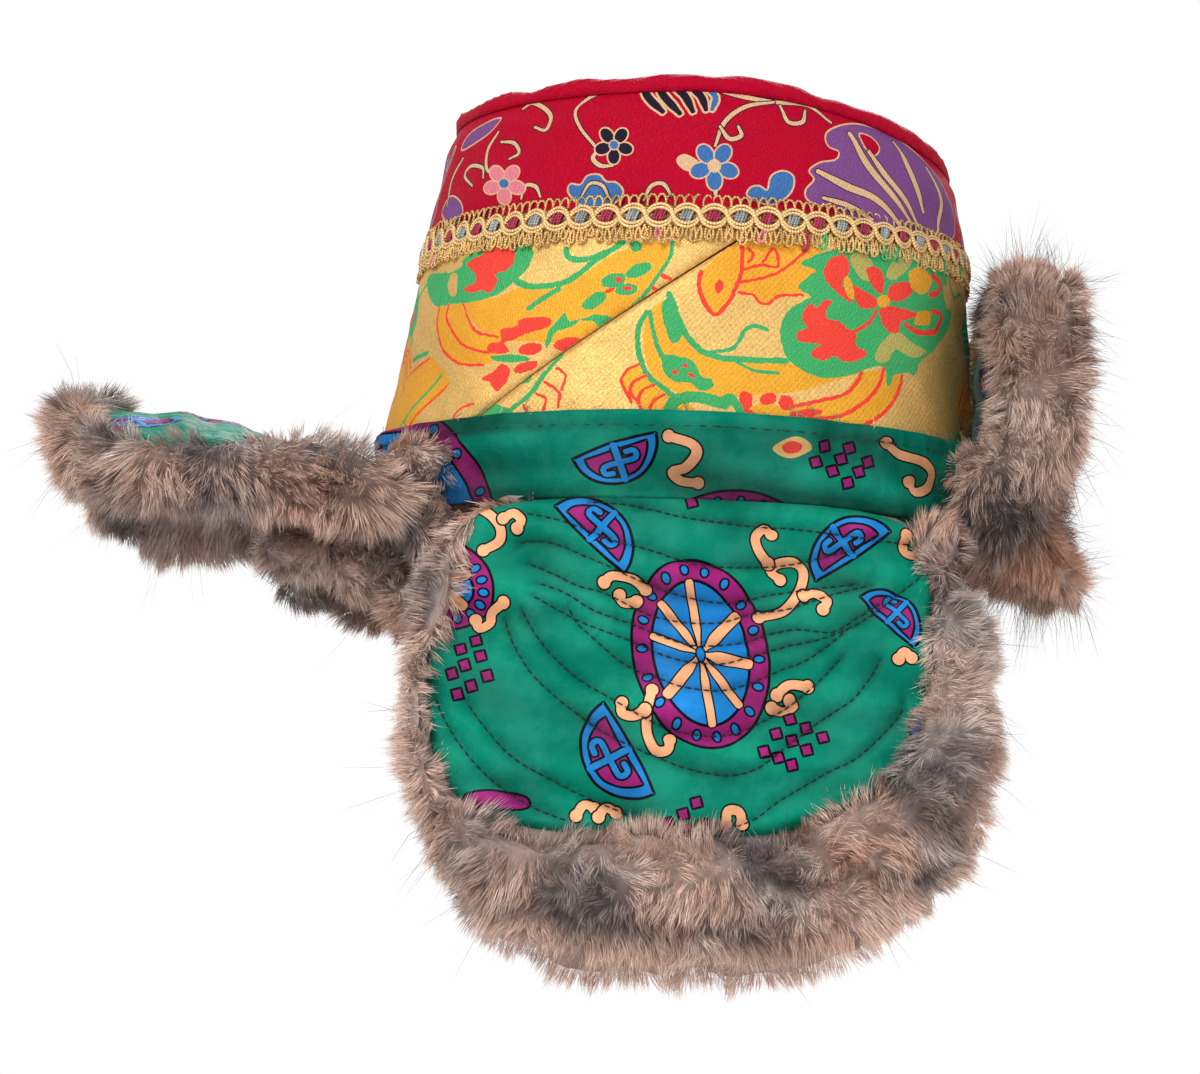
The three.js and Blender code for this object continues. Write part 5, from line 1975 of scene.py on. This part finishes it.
def make_hairs(name, pelt, count, size, seed, warm, guards, thin=1.0):
    """Pointed slivers that grow from a pelt in small tufts, with long dark guard hairs among them."""
    rng = np.random.default_rng(seed)
    triangles = pelt["triangles"][pelt["furred"][pelt["triangles"]].all(1)]
    corner = pelt["points"][triangles]
    area = np.linalg.norm(np.cross(corner[:, 1] - corner[:, 0], corner[:, 2] - corner[:, 0]), axis=1)
    out, border = pelt["out"][triangles].mean(1), pelt["border"][triangles].mean(1)
    behind = pelt["behind"][triangles].all(1)
    weight = area * np.where(behind & (out < 0.95), 0.4, 1.0)
    weight *= np.where(behind, 1.0, smooth((border - 1) / 8))
    picked = rng.choice(len(triangles), count, p=weight / weight.sum())
    share = rng.dirichlet((1, 1, 1), count)[..., None]

    def at_root(values):
        return (values[triangles[picked]] * share).sum(1)

    roots, normal, flow = (at_root(pelt[key]) for key in ("points", "normal", "flow"))
    normal, flow = unit(normal), unit(flow)
    out, fold = out[picked], pelt["fold"][triangles[picked]].mean(1)
    tufts = count // HAIRS_PER_TUFT
    tree = kdtree.KDTree(tufts)
    heads = rng.choice(count, tufts, replace=False)
    for k, spot in enumerate(heads):
        tree.insert(Vector(roots[spot]), k)
    tree.balance()
    head = np.array([heads[tree.find(Vector(root))[1]] for root in roots])
    wild = rng.uniform(size=(count, 1)) < guards * np.where(out > 1.5, 1.0, 0.3)[:, None]
    sway = np.stack([ripple(roots, 22, seed + 10 + k) for k in range(3)], 1)
    lean = np.clip((out - 1.2) * 1.5, -0.2, 0.6)[:, None] * np.where(behind[picked], 0.4, 1)[:, None]
    way = unit(normal * 0.85 + flow * lean + sway * 0.34 + np.array((0, 0, -0.12))
               + rng.normal(0, 0.3, (count, 3)))
    way = np.where(wild, unit(way + normal * 0.5), unit(mix(way, way[head], 0.55)))
    long = size * rng.uniform(0.6, 1.1, (count, 1))
    long = np.where(wild, size * rng.uniform(1.4, 2.8, (count, 1)), long)
    bend = sway * 0.2 + np.array((0, 0, -0.18)) + rng.normal(0, 0.12, (count, 3))
    tips = roots + (way + bend) * long
    low, high = (np.array(corner) / MM for corner in CAD_BOUNDS)
    past = np.maximum(low - tips, tips - high).max(axis=1, keepdims=True)
    long = np.where(past > MOST_OVERHANG, long * CUT_SHARE, long)
    facing = unit(normal + rng.normal(0, 0.5, (count, 3)))
    across = unit(np.cross(way, facing))
    width = settings()[3].hair_width / MM * thin * rng.uniform(0.7, 1.3, (count, 1))
    width = np.where(wild, width * 0.5, width)
    heart = roots[head] + way[head] * long[head]
    rows = []
    for t, side in ((0, 0), (0.5, -0.5), (0.5, 0.5), (1, 0)):
        spot = roots + way * long * t + bend * long * t * t
        spot = mix(spot, heart, np.where(wild, 0.0, 0.35) * t * t)
        rows.append(spot + across * width * side)
    points = np.stack(rows, 1).reshape(-1, 3)
    pattern = np.array([(0, 2, 1), (1, 2, 3)])
    triangles = (np.arange(count)[:, None, None] * 4 + pattern).reshape(-1, 3)
    root, middle, tip = fur_tint(roots, out, fold, seed + 40, warm)
    dark = np.array(settings()[2].dark)
    root, middle, tip = (np.where(wild, dark * rng.uniform(0.8, 2.2, (count, 1)), c)
                         for c in (root, middle, tip))
    colours = np.stack([root, middle, middle, tip], 1).reshape(-1, 3)
    hairs = make_mesh(name, points, triangles)
    set_colours(hairs, np.hstack([colours, np.zeros((len(colours), 1))]), "POINT")
    return hairs


# One row for each flap's fur: name, flap, surface, hairs, length as a share of the usual, warmth
# and share of guard hairs
FURS = [
    ("ear_left", EAR, ear_surface, 86000, 0.9, 0.0, 0.004),
    ("ear_right", EAR, right_ear_surface, 46000, 0.9, 0.1, 0.004),
    ("front", FRONT, front_surface, 62000, 1.0, 0.0, 0.006),
    ("back", BACK, back_surface, 62000, 0.9, 0.25, 0.06),
]


# Lumps of fur in the corners between the flaps on the left: the middle in millimetres and the
# reach along each axis. The right side has them turned over.
LUMPS = [
    ((51, -86, 15), (13, 18, 13)), ((52, -81, -6), (12, 14, 15)), ((47, 101, 12), (13, 14, 13)),
    ((64, 84, -16), (13, 14, 17)), ((38, -105, -18), (16, 18, 13)), ((38, -127, -12), (16, 17, 12)),
    ((40, -89, -27), (14, 14, 14)),
]
LUMP_HAIRS = 3000


def make_lumps(side, seed):
    """The corner lumps of one side as one pelt, with what their hairs need."""
    mesh = bmesh.new()
    for middle, reach in LUMPS:
        place = Matrix.Translation(Vector((side * middle[0], middle[1], middle[2])) * MM)
        size = Matrix.Diagonal((*(r * MM for r in reach), 1))
        bmesh.ops.create_icosphere(mesh, subdivisions=2, radius=1.0, matrix=place @ size)
    mesh.verts.ensure_lookup_table()
    mesh.normal_update()
    points = np.array([v.co for v in mesh.verts]) / MM
    normal = np.array([v.normal for v in mesh.verts])
    triangles = np.array([[v.index for v in face.verts] for face in mesh.faces])
    mesh.free()
    fold = np.sqrt(np.abs(ripple(points, 40, seed)))
    points = points + normal * (3.0 * (fold - LEVEL_FOLD) - PILE)[:, None]
    flow = unit(np.cross(normal, np.array((1.0, 0.2, 0.1))))
    flow = unit(np.cross(flow, normal))
    count = len(points)
    pelt = make_mesh(f"lumps_{'left' if side > 0 else 'right'}", points, triangles)
    return pelt, {"points": points, "triangles": triangles, "normal": normal, "flow": flow,
                  "furred": np.ones(count, bool), "out": np.full(count, 1.5),
                  "behind": np.zeros(count, bool), "fold": fold, "border": np.full(count, 20.0)}


def grow_fur(pelt, growth, count, size, seeds, warm, guards, nodes=()):
    """Finish a pelt and grow its hairs; seeds are those of its tint and of its hairs."""
    hair, skin = kept_material("fur hair", hair_material), kept_material("fur skin", skin_material)
    places = np.array([v.co for v in pelt.data.vertices]) / MM
    plain = np.ones(len(places))
    # The pelt takes the roots' colour with its painted shade, lifted by 1.2.
    root = fur_tint(places, plain, plain, seeds[0], warm)[0]
    set_colours(pelt, np.hstack([root * 1.2, np.zeros((len(root), 1))]), "POINT")
    finish_piece(pelt, skin, nodes)
    name = pelt.name.replace("pelt_", "hair_").replace("lumps", "hair_lumps")
    hairs = make_hairs(name, growth, count, settings()[3].hair / MM * size,
                       seeds[1], warm, guards, 1.0)
    finish_piece(hairs, hair)


def make_furs():
    """The fur of the four flaps and the lumps in the corners between them."""
    for k, (name, flap, surface, count, size, warm, guards) in enumerate(FURS):
        pelt, growth = make_pelt(f"pelt_{name}", flap, surface, 60 + k)
        grow_fur(pelt, growth, count, size, (240 + k, 200 + k), warm, guards, [f"fur_{name}"])
    for side, seed in ((1, 90), (-1, 91)):
        pelt, growth = make_lumps(side, seed)
        grow_fur(pelt, growth, LUMP_HAIRS * len(LUMPS), 0.8, (seed, seed), 0.2, 0.004)


# The stage

FLOOR_BELOW = 0.55
FLOOR_REACH = 9.0
# How bright the white world is, and how much more where the camera sees it
WORLD_LIGHT = 0.56
WORLD_SEEN = 0.46
# Each lamp's place and size in metres, its power in watts and its tint
LAMPS = {
    "key light": ((1.5, -0.9, 1.3), 1.1, 32, (1, 0.985, 0.96)),
    "fill light": ((1.3, 1.4, 0.2), 1.4, 9, (0.96, 0.98, 1)),
    "back light": ((-1.6, 0.2, 1.2), 1.2, 20, (1, 1, 1)),
}


def make_lamp(name, place, size, power, tint):
    data = bpy.data.lights.new(name, "AREA")
    data.shape = "DISK"
    data.size = size
    data.energy = power
    data.color = tint
    lamp = bpy.data.objects.new(name, data)
    lamp.location = place
    lamp.rotation_euler = (-Vector(place)).to_track_quat("-Z", "Y").to_euler()
    bpy.context.scene.collection.objects.link(lamp)


def make_stage():
    """The floor, the white world, the lamps and the camera of the photograph's view."""
    mesh = bmesh.new()
    bmesh.ops.create_circle(mesh, cap_ends=True, radius=FLOOR_REACH, segments=96)
    bmesh.ops.translate(mesh, verts=mesh.verts, vec=(0, 0, -FLOOR_BELOW))
    data = bpy.data.meshes.new("floor")
    mesh.to_mesh(data)
    mesh.free()
    floor = bpy.data.objects.new("floor", data)
    floor.data.materials.append(floor_material())
    bpy.context.scene.collection.objects.link(floor)

    world = bpy.data.worlds.new("soft white")
    world.use_nodes = True
    tree = world.node_tree
    light = put(tree, "LightPath")
    strength = plus(tree, WORLD_LIGHT, times(tree, light.outputs["Is Camera Ray"], WORLD_SEEN))
    feed(tree, tree.nodes["Background"], {"Color": (1, 1, 1, 1), "Strength": strength})
    bpy.context.scene.world = world

    for name, values in LAMPS.items():
        make_lamp(name, *values)
    bpy.context.scene.view_settings.view_transform = "Standard"

    cos, sin = math.cos(CAMERA_ELEVATION), math.sin(CAMERA_ELEVATION)
    towards = Vector((cos, 0, sin))
    up = Vector((-sin, 0, cos))
    slide = Vector((0, CAMERA_SLIDE[0], 0)) + up * CAMERA_SLIDE[1]
    data = bpy.data.cameras.new("camera")
    data.lens = CAMERA_LENS
    data.sensor_width = CAMERA_SENSOR
    camera = bpy.data.objects.new("camera", data)
    camera.location = (towards * CAMERA_DISTANCE + slide) * MM
    camera.rotation_euler = (-towards).to_track_quat("-Z", "Y").to_euler()
    bpy.context.scene.collection.objects.link(camera)
    bpy.context.scene.camera = camera


# The add-on

class HAT_OT_stage(bpy.types.Operator):
    """Set the floor, the lights and the camera"""
    bl_idname = "hat.stage"
    bl_label = "Stage"

    def execute(self, context):
        make_stage()
        return {"FINISHED"}


class HAT_OT_crimson(bpy.types.Operator):
    """Make the crimson band and the round top"""
    bl_idname = "hat.crimson"
    bl_label = "Crimson Crown"

    def execute(self, context):
        make_crimson()
        return {"FINISHED"}


class HAT_OT_gold(bpy.types.Operator):
    """Make the two gold cloths of the wall"""
    bl_idname = "hat.gold"
    bl_label = "Gold Wall"

    def execute(self, context):
        make_gold()
        return {"FINISHED"}


class HAT_OT_rim(bpy.types.Operator):
    """Make the satin rim with its stitches and loose threads"""
    bl_idname = "hat.rim"
    bl_label = "Satin Rim"

    def execute(self, context):
        make_rim()
        return {"FINISHED"}


class HAT_OT_flaps(bpy.types.Operator):
    """Make the printed satin of the four flaps, with its quilting"""
    bl_idname = "hat.flaps"
    bl_label = "Satin Flaps"

    def execute(self, context):
        make_satin_flaps()
        return {"FINISHED"}


class HAT_OT_braid(bpy.types.Operator):
    """Make the gimp braid"""
    bl_idname = "hat.braid"
    bl_label = "Gimp Braid"

    def execute(self, context):
        make_braid()
        return {"FINISHED"}


class HAT_OT_furs(bpy.types.Operator):
    """Make the fur of the four flaps and of the corners between them"""
    bl_idname = "hat.furs"
    bl_label = "Fur"

    def execute(self, context):
        make_furs()
        return {"FINISHED"}


STEPS = ("stage", "crimson", "gold", "rim", "flaps", "braid", "furs")


class HAT_PT_panel(bpy.types.Panel):
    """Sizes, colours and steps of the hat"""
    bl_label = "Hat"
    bl_idname = "HAT_PT_panel"
    bl_space_type = "VIEW_3D"
    bl_region_type = "UI"
    bl_category = "Hat"

    def draw(self, context):
        for group in settings():
            box = self.layout.box()
            for name in group.__annotations__:
                box.prop(group, name)
        for step in STEPS:
            self.layout.operator(f"hat.{step}")


GROUPS = {"hat_brocades": HatBrocades, "hat_satins": HatSatins, "hat_trims": HatTrims,
          "hat_sizes": HatSizes}
CLASSES = (*GROUPS.values(), HAT_OT_stage, HAT_OT_crimson, HAT_OT_gold, HAT_OT_rim, HAT_OT_flaps,
           HAT_OT_braid, HAT_OT_furs, HAT_PT_panel)


def register():
    for made in CLASSES:
        bpy.utils.register_class(made)
    for name, group in GROUPS.items():
        setattr(bpy.types.Scene, name, bpy.props.PointerProperty(type=group))


def unregister():
    for name in GROUPS:
        delattr(bpy.types.Scene, name)
    for made in reversed(CLASSES):
        bpy.utils.unregister_class(made)


def main():
    register()
    for step in STEPS:
        getattr(bpy.ops.hat, step)()


if __name__ == "__main__":
    main()
